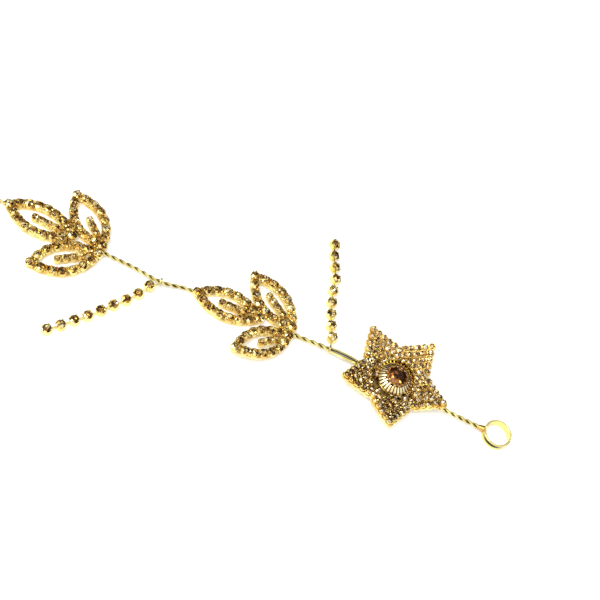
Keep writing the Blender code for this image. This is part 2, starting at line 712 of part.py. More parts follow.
def main():
    clear_scene()
    gold = material("gold", (0.93, 0.68, 0.25), 0.22, 1.0)
    topaz = material("topaz", (0.42, 0.22, 0.06), 0.08, 0.0)
    jewelled = [gold, topaz]
    vine = add_object("vine", None)
    radius = RING_DIAMETER / 2
    sideways = {piece: share * LEAF_LENGTH for piece, share in SIDEWAYS.items()}
    low = WIRE_WIDTH / 2 + CLEARANCE
    mid_ring = RING_HEIGHT / 2
    seat = WIRE_SEAT

    left_ring = Vector((0, sideways["left_ring"]))
    left_tip, left_fork = make_spray("leaf_spray_left", LEFT_LEAVES, LEFT_CURL, radius + END_WIRE,
                                     sideways["left_spray"], jewelled, vine)
    right_tip, right_fork = make_spray("leaf_spray_right", RIGHT_LEAVES, RIGHT_CURL,
                                       left_fork.x + LONG_WIRE, sideways["right_spray"], jewelled,
                                       vine)

    places, bars, notch = flower_plan()
    pitch = FLOWER_STONE + FLOWER_SPACING
    bulge = pitch * BULGE_SHARE
    notch += bulge
    flower = Vector((right_fork.x + MIDDLE_WIRE + notch, sideways["flower"]))
    foot = DISC_THICKNESS + CLEARANCE
    shapes = [octagon(place, bulge, math.radians(heading)) for place, heading in places]
    shapes += [web(near, far, bulge / 2) for near, far in bars]
    stones = [(place, FLOWER_STONE / 2, math.radians(heading)) for place, heading in places]
    mesh = jewelled_plate("star_flower", shapes, stones, foot, FLOWER_HEIGHT, FLOWER_CROWN,
                          flower_lift, jewelled)
    flower_frame = Matrix.Translation(flower.to_3d())
    add_object("star_flower", mesh, flower_frame, vine)
    add_object("flower_centre", flower_centre("flower_centre", jewelled), flower_frame, vine)

    petal = direction(FLOWER_TURN)
    petal_edge = flower + petal * (FLOWER_REACH + bulge)
    right_ring = Vector((petal_edge.x + END_WIRE + radius, sideways["right_ring"]))

    def at(point, z):
        return Vector((point.x, point.y, z))

    def under_flower(distance, out):
        height = foot + flower_lift(out * distance) - CLEARANCE - WIRE_WIDTH / 2
        return at(flower + out * distance, max(WIRE_WIDTH / 2, height))

    along = Vector((1, 0))
    bore_end = radius + SOCKET_REACH - SOCKET_DEPTH + CLEARANCE
    start = left_ring + along * bore_end
    tip_axis = direction(LEFT_LEAVES[0][0] - 180)
    wire = [at(start, mid_ring), at(start + along * SOCKET_DEPTH, mid_ring),
            at((start + left_tip) / 2 + along * SOCKET_DEPTH, (mid_ring + low) / 2),
            at(left_tip - tip_axis * seat * 0.5, low), at(left_tip + tip_axis * seat, low)]
    add_object("wire_left", twisted_wire("wire_left", wire, gold), None, vine)

    tip_axis = direction(RIGHT_LEAVES[0][0] - 180)
    knot_x = left_fork.x + LONG_WIRE * STRAND_1["hang"]
    knot_1 = Vector((knot_x, sideways["first_knot"], KNOT_HEIGHT))
    wire = [at(left_fork - along * seat, low), at(left_fork + along * seat * 0.5, low),
            (at(left_fork, low) + knot_1) / 2 + Vector((0, -left_fork.y * 0.1, 0)), knot_1,
            at(right_tip - tip_axis * seat, low), at(right_tip + tip_axis * seat, low)]
    add_object("wire_long", twisted_wire("wire_long", wire, gold), None, vine)

    toward = (right_fork - flower).normalized()
    knot_x = right_fork.x + MIDDLE_WIRE * STRAND_2["hang"]
    knot_2 = Vector((knot_x, sideways["second_knot"], KNOT_HEIGHT))
    wire = [at(right_fork - along * seat, low), at(right_fork + along * seat * 0.5, low), knot_2,
            under_flower(notch + seat, toward), under_flower(notch - seat, toward)]
    add_object("wire_middle", twisted_wire("wire_middle", wire, gold), None, vine)

    stop = right_ring - along * bore_end
    inner = FLUTE_DIAMETER / 2 + HUB_GAP + DISC_OVERLAP + pitch * 1.5
    wire = [under_flower(inner, petal), under_flower(inner + pitch, petal),
            at(petal_edge, mid_ring + WIRE_THICKNESS),
            at(stop - along * SOCKET_DEPTH, mid_ring), at(stop, mid_ring)]
    add_object("wire_right", twisted_wire("wire_right", wire, gold), None, vine)

    end_ring("end_ring_left", 0, gold, vine, Matrix.Translation(left_ring.to_3d()))
    end_ring("end_ring_right", 180, gold, vine, Matrix.Translation(right_ring.to_3d()))

    meshes = (cup_mesh(jewelled), link_mesh(gold), gold)
    strand("strand_1", STRAND_1, knot_1, 0, -1, meshes, vine)
    strand("strand_2", STRAND_2, knot_2, 0, 1, meshes, vine)

    bpy.context.view_layer.update()
    corners = [obj.matrix_world @ v.co for obj in bpy.data.objects
               if obj.type == "MESH" and not obj.hide_render for v in obj.data.vertices]
    for axis in (0, 1):
        spread = [c[axis] for c in corners]
        vine.location[axis] = -(min(spread) + max(spread)) / 2


main()
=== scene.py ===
from math import cos, pi, radians, sin, tau

import bpy
import numpy as np
from mathutils import Matrix, Vector


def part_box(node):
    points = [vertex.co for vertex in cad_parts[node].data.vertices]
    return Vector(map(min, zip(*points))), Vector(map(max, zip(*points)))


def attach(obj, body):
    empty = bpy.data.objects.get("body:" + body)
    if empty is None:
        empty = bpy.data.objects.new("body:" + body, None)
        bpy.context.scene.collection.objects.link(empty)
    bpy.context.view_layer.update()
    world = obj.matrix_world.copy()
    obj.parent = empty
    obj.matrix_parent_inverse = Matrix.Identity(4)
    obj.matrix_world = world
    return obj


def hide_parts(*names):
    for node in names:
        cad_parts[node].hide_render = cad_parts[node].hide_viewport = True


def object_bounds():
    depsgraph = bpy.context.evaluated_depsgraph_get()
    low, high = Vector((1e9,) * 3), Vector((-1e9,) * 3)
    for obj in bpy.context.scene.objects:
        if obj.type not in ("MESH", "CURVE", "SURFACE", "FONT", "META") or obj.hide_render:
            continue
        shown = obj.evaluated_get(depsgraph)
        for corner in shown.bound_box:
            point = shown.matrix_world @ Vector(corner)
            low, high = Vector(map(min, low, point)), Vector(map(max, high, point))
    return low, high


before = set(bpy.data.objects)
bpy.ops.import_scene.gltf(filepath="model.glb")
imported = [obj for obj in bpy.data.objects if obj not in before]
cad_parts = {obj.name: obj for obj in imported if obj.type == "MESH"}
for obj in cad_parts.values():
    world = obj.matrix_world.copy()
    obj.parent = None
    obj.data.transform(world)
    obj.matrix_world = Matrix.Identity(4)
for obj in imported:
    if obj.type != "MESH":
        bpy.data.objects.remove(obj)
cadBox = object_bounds()
mm = 0.001
up = np.array([0.0, 0.0, 1.0])

# Shapes. A pattern is a pair: its points, and a list of face arrays, one for each number of corners


def joined(patterns):
    # the patterns as one, each one's corner numbers moved on by the points before it
    points, faces, start = [], {}, 0
    for part, lists in patterns:
        points.append(part)
        for each in lists:
            faces.setdefault(each.shape[1], []).append(each + start)
        start += len(part)
    return np.concatenate(points), [np.concatenate(each) for each in faces.values()]


def stamped(pattern, frames):
    # every point p of the pattern goes to R p + t for each frame (R, t)
    points, faces = pattern
    moved = np.einsum("fij,pj->fpi", frames[:, :3, :3], points) + frames[:, None, :3, 3]
    shift = np.arange(len(frames)) * len(points)
    copies = [(each[None] + shift[:, None, None]).reshape(-1, each.shape[1]) for each in faces]
    return moved.reshape(-1, 3), copies


def gridFaces(rows, columns, closedRows=False):
    # quads of a grid whose point (i, j) has number i * columns + j, closed across its columns
    i = np.arange(rows if closedRows else rows - 1)[:, None]
    j = np.arange(columns)[None, :]
    a, b, d = i * columns, (i + 1) % rows * columns, (j + 1) % columns
    return np.stack([a + j, a + d, b + d, b + j], axis=-1).reshape(-1, 4)


def unit(vectors):
    # each vector divided by its own length
    return vectors / np.linalg.norm(vectors, axis=1)[:, None]


def distances(these, others):
    # from each of these points to each of the others
    return np.linalg.norm(these[:, None] - others[None], axis=2)


def travelled(path):
    # how far along a path each of its points is: the sum of the steps before it
    return np.concatenate([[0], np.cumsum(np.linalg.norm(np.diff(path, axis=0), axis=1))])


def across(path):
    # at each point of a path, the level direction across it, and the one above both
    tangent = unit(np.gradient(path, axis=0))
    side = unit(np.cross(up, tangent))
    return side, np.cross(tangent, side)


def closed(points, sides, start, end):
    # rows of points as a grid, its first and last row closed to the points start and end
    count, j = len(points), np.arange(sides)
    after, last = (j + 1) % sides, count - sides
    bottom = np.stack([after, j, np.full(sides, count)], axis=-1)
    top = np.stack([last + j, last + after, np.full(sides, count + 1)], axis=-1)
    faces = [gridFaces(count // sides, sides), np.concatenate([bottom, top])]
    return np.concatenate([points, [start], [end]]), faces


def turned(profile, sides, drop=0.0):
    # x = r cos t, y = r sin t, z = z - drop for each (r, z) of the profile, which runs from the
    # axis below to the axis above; the two points on the axis close it
    profile = np.array(profile, float)
    angle = np.arange(sides) * tau / sides
    radius, level = profile[1:-1, :1], profile[1:-1, 1:]
    z = np.repeat(level, sides, axis=1) - drop
    grid = np.stack([radius * np.cos(angle), radius * np.sin(angle), z], axis=-1)
    return closed(grid.reshape(-1, 3), sides, (0, 0, profile[0, 1]), (0, 0, profile[-1, 1]))


def tube(path, radii, sides):
    # a circle of the given radius carried along the path, across its tangent, both ends closed
    side, over = across(path)
    angle = (np.arange(sides) * tau / sides)[None, :, None]
    circle = np.cos(angle) * side[:, None] + np.sin(angle) * over[:, None]
    radii = np.broadcast_to(radii, len(path))[:, None, None]
    points = (path[:, None] + circle * radii).reshape(-1, 3)
    return closed(points, sides, path[0], path[-1])


def addObject(name, data):
    made = bpy.data.objects.new(name, data)
    bpy.context.scene.collection.objects.link(made)
    return made


def putPiece(node, word, pattern, finish, nodes=None, slot="jewelled_gold", sharp=35.0,
             tones=None, **given):
    # the pattern as a piece that stands for its node or nodes. Edges past the angle sharp stay
    # sharp; tones is one number for each face, a stone facet's painted reflection tone, and given
    # holds one number or vector for each point
    points, faces = pattern
    name = node + "_" + word
    corners = np.concatenate([each.ravel() for each in faces]).astype(np.int32)
    sizes = np.concatenate([np.full(len(each), each.shape[1]) for each in faces])
    mesh = bpy.data.meshes.new(name)
    mesh.vertices.add(len(points))
    mesh.vertices.foreach_set("co", points.astype(np.float32).ravel())
    mesh.loops.add(len(corners))
    mesh.loops.foreach_set("vertex_index", corners)
    mesh.polygons.add(len(sizes))
    starts = np.concatenate([[0], np.cumsum(sizes)[:-1]]).astype(np.int32)
    mesh.polygons.foreach_set("loop_start", starts)
    mesh.update(calc_edges=True)
    if sharp:
        mesh.shade_smooth()
        mesh.set_sharp_from_angle(angle=radians(sharp))
    else:
        mesh.shade_flat()
    if tones is not None:
        layer = mesh.attributes.new("glintTone", "FLOAT", "FACE")
        layer.data.foreach_set("value", tones.astype(np.float32))
    for layer, values in given.items():
        kind, field = ("FLOAT", "value") if values.ndim == 1 else ("FLOAT_VECTOR", "vector")
        data = mesh.attributes.new(layer, kind, "POINT").data
        data.foreach_set(field, values.astype(np.float32).ravel())
    mesh.materials.append(finishes[finish])
    piece = addObject(name, mesh)
    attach(piece, "root")
    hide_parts(*(nodes or [node]))
    print("made", name, len(points), "points")


def heading(degrees):
    # the level direction at this angle from X
    turn = radians(degrees)
    return np.array([cos(turn), sin(turn)])


def leftOf(vector):
    # a level vector turned a quarter to the left
    return np.array([-vector[1], vector[0]])


def at(point, z):
    # a level place at this height
    return np.array([point[0], point[1], z])


def asFrames(x, y, z, places):
    # 4 by 4 frames from their axes and places
    frames = np.tile(np.eye(4), (len(places), 1, 1))
    for column, values in enumerate((x, y, z, places)):
        frames[:, :3, column] = values
    return frames


def standing(places, headings, normals=None):
    # frames at the places, X turned to the headings in radians, Z along the normals or straight up
    places = np.array(places, float)
    z = unit(np.tile(up, (len(places), 1)) if normals is None else np.array(normals, float))
    x = np.stack([np.cos(headings), np.sin(headings), np.zeros(len(places))], axis=-1)
    x = unit(x - z * np.sum(x * z, axis=1)[:, None])
    return asFrames(x, np.cross(z, x), z, places)


def standingAt(point, z=0.0, turn=0.0):
    # one upright frame
    return standing([at(point, z)], np.array([turn]))


def smoothRoute(points, spacing, samples=60):
    # a Catmull-Rom curve through the points, read again at equal steps of its length
    points = np.array(points, float)
    ends = np.concatenate([[points[0] * 2 - points[1]], points, [points[-1] * 2 - points[-2]]])
    t = (np.arange(samples) / samples)[:, None, None]
    a, b, c, d = ends[:-3], ends[1:-2], ends[2:-1], ends[3:]
    dense = 0.5 * (2 * b + (c - a) * t + (2 * a - 5 * b + 4 * c - d) * t ** 2
                   + (3 * b - a - 3 * c + d) * t ** 3)
    dense = np.concatenate([dense.transpose(1, 0, 2).reshape(-1, 3), points[-1:]])
    length = travelled(dense)
    even = np.linspace(0, length[-1], max(3, round(length[-1] / spacing)) + 1)
    return np.stack([np.interp(even, length, dense[:, axis]) for axis in range(3)], axis=-1), even


# Materials


def feed(tree, node, inputs):
    # values and links into the inputs of a node, by name or number
    for socket, value in inputs.items():
        if isinstance(value, bpy.types.NodeSocket):
            tree.links.new(value, node.inputs[socket])
        else:
            node.inputs[socket].default_value = value


def addNode(tree, kind, inputs=None, **settings):
    node = tree.nodes.new("ShaderNode" + kind)
    for word, value in settings.items():
        setattr(node, word, value)
    feed(tree, node, inputs or {})
    return node


def newGroup(name, inputs, outputs):
    # a group whose inputs are numbers, given with their values, and whose outputs have these kinds
    group = bpy.data.node_groups.new(name, "ShaderNodeTree")
    for socket, value in inputs.items():
        made = group.interface.new_socket(socket, in_out="INPUT", socket_type="NodeSocketFloat")
        made.default_value = value
    for socket, kind in outputs.items():
        group.interface.new_socket(socket, in_out="OUTPUT", socket_type="NodeSocket" + kind)
    return group, group.nodes.new("NodeGroupInput").outputs, group.nodes.new("NodeGroupOutput")


def makeHandling():
    # soft blotches and fine scuffs from two noises in Object coordinates: where handling has dulled
    # the plate, and a height for the finest dents
    group, given, out = newGroup(
        "handling", {"blotch size": 300.0, "scuff size": 2600.0, "least": 0.08, "most": 0.2},
        {"blotch": "Float", "roughness": "Float", "height": "Float"})
    place = addNode(group, "TexCoord").outputs["Object"]
    blotch, scuff = (
        addNode(group, "TexNoise", {"Vector": place, "Scale": given[size], "Detail": detail})
        for size, detail in (("blotch size", 3), ("scuff size", 2)))
    spread = addNode(group, "MapRange", {
        "Value": scuff.outputs["Fac"], "From Min": 0.35, "From Max": 0.7,
        "To Min": given["least"], "To Max": given["most"]})
    feed(group, out, {"blotch": blotch.outputs["Fac"], "roughness": spread.outputs["Result"],
                      "height": scuff.outputs["Fac"]})
    return group


handling = makeHandling()


def newMaterial(name):
    # a material with its node tree and its Principled shader
    material = bpy.data.materials.new(name)
    material.use_nodes = True
    tree = material.node_tree
    return material, tree, tree.nodes["Principled BSDF"]


def ramp(tree, value, stops):
    # the colour that the value has on the way through the stops
    node = addNode(tree, "ValToRGB", {"Fac": value})
    band = node.color_ramp
    while len(band.elements) < len(stops):
        band.elements.new(0.5)
    for element, (place, colour) in zip(band.elements, stops):
        element.position = place
        element.color = (*colour, 1)
    return node.outputs["Color"]


# a look's stain is the dark colour it takes where its points carry painted shade
goldLooks = {
    "plate": {"pale": (0.98, 0.83, 0.31), "deep": (0.66, 0.42, 0.08), "least": 0.06, "most": 0.16,
              "stain": (0.19, 0.075, 0.010)},
    "band": {"pale": (0.95, 0.86, 0.35), "deep": (0.88, 0.66, 0.17), "least": 0.05, "most": 0.12},
    "wire": {"pale": (0.93, 0.83, 0.37), "deep": (0.60, 0.48, 0.16), "least": 0.06, "most": 0.14},
    "chain": {"pale": (1.0, 0.90, 0.39), "deep": (0.80, 0.60, 0.16), "least": 0.05, "most": 0.14},
    "solder": {"pale": (0.78, 0.48, 0.12), "deep": (0.38, 0.20, 0.05), "least": 0.16, "most": 0.35},
    "flutes": {"pale": (1.0, 0.90, 0.58), "deep": (0.84, 0.58, 0.24), "least": 0.05, "most": 0.14},
    "claws": {"pale": (0.54, 0.28, 0.09), "deep": (0.20, 0.08, 0.02), "least": 0.10, "most": 0.25},
    "rail": {"pale": (1.0, 0.89, 0.42), "deep": (0.78, 0.52, 0.12), "least": 0.08, "most": 0.2,
             "stain": (0.22, 0.095, 0.014)},
    # shaded is gold darkened as painted shade, for the backing disc and skirts that lie in the
    # flower's shadow
    "shaded": {"pale": (0.46, 0.33, 0.12), "deep": (0.20, 0.14, 0.05), "least": 0.25, "most": 0.45},
}
# besides wear and dents, stain here is the near black of painted shade for looks that have none of
# their own
goldWearAndShade = {"paleTo": 0.34, "deepFrom": 0.66, "dentStrength": 0.12, "dentDepth": 0.02 * mm,
            "stain": (0.02, 0.018, 0.008)}


def makeGold(name, look):
    # plate that goes from pale to deep with the blotches, and takes the dark colour of painted
    # shade where its points carry painted shade
    material, tree, shader = newMaterial(name)
    wear = addNode(tree, "Group", {limit: look[limit] for limit in ("least", "most")},
                   node_tree=handling).outputs
    colour = ramp(tree, wear["blotch"], [(goldWearAndShade["paleTo"], look["pale"]),
                                         (goldWearAndShade["deepFrom"], look["deep"])])
    bump = addNode(tree, "Bump", {"Strength": goldWearAndShade["dentStrength"],
                                  "Distance": goldWearAndShade["dentDepth"], "Height": wear["height"]})
    stain = addNode(tree, "Attribute", attribute_name="stain").outputs["Fac"]
    dark = (*look.get("stain", goldWearAndShade["stain"]), 1)
    stained = addNode(tree, "Mix", data_type="RGBA")
    feed(tree, stained, {0: stain, 6: colour, 7: dark})
    feed(tree, shader, {"Base Color": stained.outputs[2], "Roughness": wear["roughness"],
                        "Normal": bump.outputs["Normal"], "Metallic": 1.0})
    return material


# the stops run from near black to near white: painted reflections and glints of the facets
stoneLooks = {
    "champagne": {"stops": [(0.0, (0.010, 0.004, 0.001)), (0.34, (0.10, 0.034, 0.004)),
                            (0.47, (0.54, 0.25, 0.028)), (0.61, (1.0, 0.74, 0.19)),
                            (0.80, (1.0, 0.97, 0.68))], "metallic": 0.95, "tilt": 0.9},
    "rose": {"stops": [(0.0, (0.010, 0.004, 0.001)), (0.34, (0.10, 0.036, 0.009)),
                       (0.48, (0.42, 0.21, 0.055)), (0.62, (0.98, 0.72, 0.27)),
                       (0.78, (1.0, 0.97, 0.86))], "metallic": 0.95, "tilt": 1.2},
    "smoky": {"stops": [(0.0, (0.012, 0.004, 0.001)), (0.40, (0.11, 0.034, 0.006)),
                        (0.64, (0.46, 0.18, 0.032)), (0.84, (1.0, 0.80, 0.46))],
              "metallic": 0.92, "tilt": 0.9},
}
undersideShare = 0.6  # of a facet's painted reflection tone, what comes from the underside reflected in it
stoneGloss = {"Roughness": 0.05, "Coat Weight": 0.3, "Coat Roughness": 0.02}


def makeFacets():
    # painted reflection: what shows through a cut stone, the sectors and steps of its underside
    # reflected inside it. "cut" holds the place across the stone, -1 to 1 both ways, with a number
    # of the stone's own; "axis" is the way it faces. Each cell of angle and distance has its own
    # tone, from a dark reflection to a painted glint, and its own tilt
    group, given, out = newGroup(
        "facets", {"sectors": 6.0, "steps": 1.9, "tilt": 0.9, "flatten": 0.5},
        {"glintTone": "Float", "normal": "Vector"})

    def calculate(operation, *values, kind="Math"):
        inputs = {i: value for i, value in enumerate(values) if value is not None}
        return addNode(group, kind, inputs, operation=operation).outputs[0]

    def combine(operation, *values):
        return calculate(operation, *values, kind="VectorMath")

    cut, facing = (addNode(group, "Attribute", attribute_name=word).outputs["Vector"]
                   for word in ("cut", "axis"))
    u, v, own = addNode(group, "SeparateXYZ", {0: cut}).outputs
    angle = calculate("ARCTAN2", v, u)
    share = calculate("MULTIPLY", calculate("DIVIDE", angle, tau), given["sectors"])
    ridge = calculate("ABSOLUTE", calculate("SUBTRACT", calculate("FRACT", share), 0.5))
    squares = calculate("ADD", calculate("MULTIPLY", u, u), calculate("MULTIPLY", v, v))
    distance = calculate("MULTIPLY", calculate("SQRT", squares), given["steps"])
    cell = addNode(group, "CombineXYZ", {
        0: calculate("FLOOR", share), 1: calculate("FLOOR", calculate("ADD", distance, ridge)),
        2: own})
    chance = addNode(group, "TexWhiteNoise", {"Vector": cell.outputs[0]}, noise_dimensions="3D")
    tipped = combine("SUBTRACT", chance.outputs["Color"], (0.5, 0.5, 0.5))
    tipped = combine("SCALE", tipped, None, None, given["tilt"])
    level = combine("SCALE", facing, None, None, given["flatten"])
    summed = combine("ADD", addNode(group, "NewGeometry").outputs["Normal"], level)
    feed(group, out, {"normal": combine("NORMALIZE", combine("ADD", summed, tipped)),
                      "glintTone": chance.outputs["Value"]})
    return group


facets = makeFacets()


def makeStone(name, look):
    # painted reflection and glints: each facet's own tone and the cell of the underside that shows
    # in it decide its colour, from near black to near white
    material, tree, shader = newMaterial(name)
    glintTone = addNode(tree, "Attribute", attribute_name="glintTone").outputs["Fac"]
    seen = addNode(tree, "Group", {"tilt": look["tilt"]}, node_tree=facets).outputs
    mixed = addNode(tree, "Mix", {0: undersideShare, 2: glintTone, 3: seen["glintTone"]}).outputs[0]
    feed(tree, shader, {"Base Color": ramp(tree, mixed, look["stops"]), "Normal": seen["normal"],
                        "Metallic": look["metallic"], **stoneGloss})
    return material


finishes = {name: makeGold(name + "Gold", look) for name, look in goldLooks.items()}
finishes.update({name: makeStone(name + "Stone", look) for name, look in stoneLooks.items()})

# Settings and stones

claw = {
    "steps": (0.0, 0.35, 0.7, 1.0), "out": (0.96, 0.97, 0.94, 0.74), "up": (-0.34, 0.02, 0.2, 0.24),
    "prongs": 4, "narrows": 0.44, "thick": 0.07, "thins": 0.02,
    "thickOut": (1, 1, 0.3, 0.2), "thickUp": (0, 0.3, 0.8, 0.8),
}
brilliant = {"table": 0.55, "kites": 0.80, "kiteHeight": 0.52, "girdle": 0.12,
             "tones": (0.8, 1.1), "stoneTone": 0.06, "seedStep": 0.37}


def settingPattern(radius, height, rim, foot=0.86, sides=14, wide=0.25):
    # a cup turned about Z, a little narrower at its foot, with a floor under the stone, and claws
    # that bend in over the stone's edge
    outer = radius + rim
    seat = height - 0.16 * radius
    cup = turned([(0, 0), (outer * foot, 0), (outer * 0.97, height * 0.4), (outer, height * 0.92),
                  (outer - rim * 0.3, height), (outer - rim * 1.2, height), (radius * 0.96, seat),
                  (0, seat)], sides)
    return joined([cup, clawsPattern(radius, outer, height, radius, claw["prongs"], wide)])


def clawsPattern(radius, outer, height, rise, prongs, wide):
    # a claw is a rectangle carried up the cup's side and in over the edge, narrowing as it goes
    steps, out, over, thickOut, thickUp = (
        np.array(claw[word])[:, None] for word in ("steps", "out", "up", "thickOut", "thickUp"))
    width = radius * wide * (1 - claw["narrows"] * steps)
    thick = rise * (claw["thick"] - claw["thins"] * steps)
    side, depth = np.array([-1, 1, 1, -1]), np.array([1, 1, -1, -1])
    x = out * outer + depth * thick * thickOut
    z = height + over * rise + depth * thick * thickUp
    corners = np.stack([x, side * width, z], axis=-1).reshape(-1, 3)
    faces = [np.concatenate([gridFaces(4, 4)[:, ::-1], [[0, 1, 2, 3]], [[15, 14, 13, 12]]])]
    turns = np.arange(prongs) * tau / prongs + tau / 8
    return stamped((corners, faces), standing(np.zeros((prongs, 3)), turns))


def pinPattern(radius, low, high, aside):
    # grains of metal turned about Z, one on each side of the row's line, or one on it
    pin, faces = turned([(0, low), (radius, low), (radius * 0.95, high - radius * 0.5),
                         (radius * 0.55, high - radius * 0.08), (0, high)], 7)
    sides = (-aside, aside) if aside else (0,)
    return joined([(pin + np.array([0, side, 0]), faces) for side in sides])


def levelRing(radius, angles, z):
    # level points at these angles round Z
    return np.column_stack([radius * np.cos(angles), radius * np.sin(angles),
                            np.full(len(angles), z)])


def stonePattern(radius, level, crown, sides=8):
    # a brilliant crown: a table, stars and kites down to a girdle with twice as many corners
    k = np.arange(sides)
    wide = np.arange(2 * sides) * tau / (2 * sides)
    points = np.concatenate([
        levelRing(radius * brilliant["table"], k * tau / sides, level + crown),
        levelRing(radius * brilliant["kites"], (k + 0.5) * tau / sides,
                  level + crown * brilliant["kiteHeight"]),
        levelRing(radius, wide, level),
        levelRing(radius, wide, level - brilliant["girdle"] * radius)])
    t, m, g = k, sides + k, 2 * sides + 2 * k
    tn, gn = (k + 1) % sides, 2 * sides + (2 * k + 2) % (2 * sides)
    mp = sides + (k - 1) % sides
    stars = np.stack([t, m, tn], axis=-1)
    kites = np.stack([t, mp, g, m], axis=-1)
    halves = np.concatenate([np.stack([m, g, g + 1], axis=-1), np.stack([m, g + 1, gn], axis=-1)])
    low = gridFaces(2, 2 * sides)[:, ::-1] + 2 * sides
    base = 4 * sides + np.arange(2 * sides)[None, ::-1]
    return points, [np.concatenate([stars, halves]), np.concatenate([kites, low]), t[None], base]


def facetGlintTones(pattern, copies, seed, spread):
    # one random painted reflection tone for each facet of each copy, lighter on some stones than on
    # others
    random = np.random.default_rng(seed)
    tones = []
    for each in pattern[1]:
        own = random.beta(*brilliant["tones"], (copies, len(each))) * spread
        tones.append(own + random.normal(0, brilliant["stoneTone"], (copies, 1)))
    return np.concatenate([np.clip(each, 0, 1).ravel() for each in tones])


def putStones(node, word, pattern, radius, frames, look, seed, nodes=None, spread=1.0):
    # the stones of a node, each point with its place across its own stone and that stone's axis
    count = len(pattern[0])
    place = np.tile(pattern[0][:, :2] / radius, (len(frames), 1))
    own = np.repeat(np.arange(len(frames)) + seed * brilliant["seedStep"], count)
    putPiece(node, word, stamped(pattern, frames), look, nodes, sharp=0,
             tones=facetGlintTones(pattern, len(frames), seed, spread),
             cut=np.column_stack([place, own]), axis=np.repeat(frames[:, :3, 2], count, axis=0))


def barPattern(half, low, high):
    # a bar along X, one unit long, its corners drawn in at the top
    section = np.array([(-half, low), (half, low), (half, high * 0.8), (half * 0.6, high),
                        (-half * 0.6, high), (-half, high * 0.8)])
    points = np.concatenate([np.column_stack([np.full(6, x), section]) for x in (-0.5, 0.5)])
    return points, [gridFaces(2, 6), np.stack([np.arange(5, -1, -1), 6 + np.arange(6)])]


def between(starts, ends):
    # frames halfway from the starts to the ends, and the ways from the one to the other
    way = ends - starts
    return standing((starts + ends) / 2, np.arctan2(way[:, 1], way[:, 0])), way


def barFrames(starts, ends):
    # X is stretched from one end of each bar to the other
    frames, way = between(starts, ends)
    frames[:, :3, 0] = way
    return frames


# Where things are: the same sizes and rules as the solids, from the left ring to the right

vine = {
    "clearance": 0.3 * mm, "ringDiameter": 8.0 * mm, "ringWall": 0.55 * mm, "ringHeight": 2.5 * mm,
    "socketReach": 1.8 * mm, "socketDepth": 1.5 * mm, "endWire": 12.0 * mm, "longWire": 26.0 * mm,
    "middleWire": 19.9 * mm, "wireWidth": 1.0 * mm, "wireThickness": 0.5 * mm, "wireSeat": 2.1 * mm,
    "knotHeight": 1.45 * mm, "slimWire": 1.25 * mm, "wideWire": 1.44 * mm,
}
leaf = {
    "length": 18.2 * mm, "width": 8.0 * mm, "stone": 2.4 * mm, "ribStone": 1.85 * mm,
    "rim": 0.12 * mm, "gap": 0.2 * mm, "height": 2.0 * mm, "crown": 0.55 * mm, "ribStart": 0.39,
    "ribEnd": 0.74, "baseAside": 0.52, "closest": 0.97, "joinReach": 1.15, "joinWidth": 0.26,
    "joinHeight": 0.8, "curlReach": 0.66, "curlMost": 1.2, "railWidth": 0.92, "railHeight": 0.72,
    "railPaintedShade": 0.6, "grain": 0.16, "grainAside": 0.31, "grainFoot": 0.4, "grainTop": 0.25 * mm,
    "grainPaintedShades": (0.0, 0.1, 0.8), "grainSeed": 13, "stoneGrown": 0.4,
}
sideways = {"leftRing": -0.07, "leftSpray": -0.126, "rightSpray": -0.066, "flower": -0.082,
            "rightRing": -0.23, "firstKnot": -0.198, "secondKnot": -0.066}
sprays = {
    "left": {"leaves": ((176.7, 1.06, 1.02), (137.5, 0.96, 1.0), (216.0, 1.01, 1.02)),
             "curl": (0.0, 0.0)},
    "right": {"leaves": ((181.2, 1.01, 0.96), (146.5, 0.995, 0.97), (222.5, 0.91, 0.93)),
              "curl": (0.4, 0.9)},
}
leafPitch = leaf["stone"] + 2 * leaf["rim"] + leaf["gap"]


def leafRows(base, degrees, length, width):
    # both side rows of a leaf, from tip to base, evenly spaced along a parabola, and its midrib
    length, width = length * leaf["length"], width * leaf["width"]
    axis = heading(degrees)
    tip = base + axis * length
    s = np.arange(201) / 200
    rows = []
    for side in (1, -1):
        bulge = side * width * 2 * s * (1 - s)
        path = tip - axis * length * s[:, None] + leftOf(axis) * bulge[:, None]
        way = travelled(path)
        count = max(2, round(way[-1] / leafPitch))
        picks = np.searchsorted(way, way[-1] * np.arange(count) / count)
        rows.append(np.concatenate([path[picks], [base]]))
    ribPitch = leaf["ribStone"] + 2 * leaf["rim"]
    count = 1 + int((leaf["ribEnd"] - leaf["ribStart"]) * length / ribPitch)
    rib = tip - axis * (length * leaf["ribEnd"] - np.arange(count)[:, None] * ribPitch)
    return rows, rib


def sprayPlan(leaves):
    # rows and midribs of the three leaves, with the fork at the origin. The first leaf moves out
    # until its stones clear those of the other two
    built = [(each[0], *leafRows(np.array([0, side * leafPitch * leaf["baseAside"]]), *each))
             for each, side in zip(leaves[1:], (1, -1))]
    others = np.concatenate([row for _, rows, _ in built for row in rows])
    reach = leafPitch
    while True:
        rows, rib = leafRows(heading(leaves[0][0]) * reach, *leaves[0])
        if distances(np.concatenate(rows), others).min() >= leafPitch * leaf["closest"]:
            break
        reach += leafPitch / 100
    return [(leaves[0][0], rows, rib), *built]


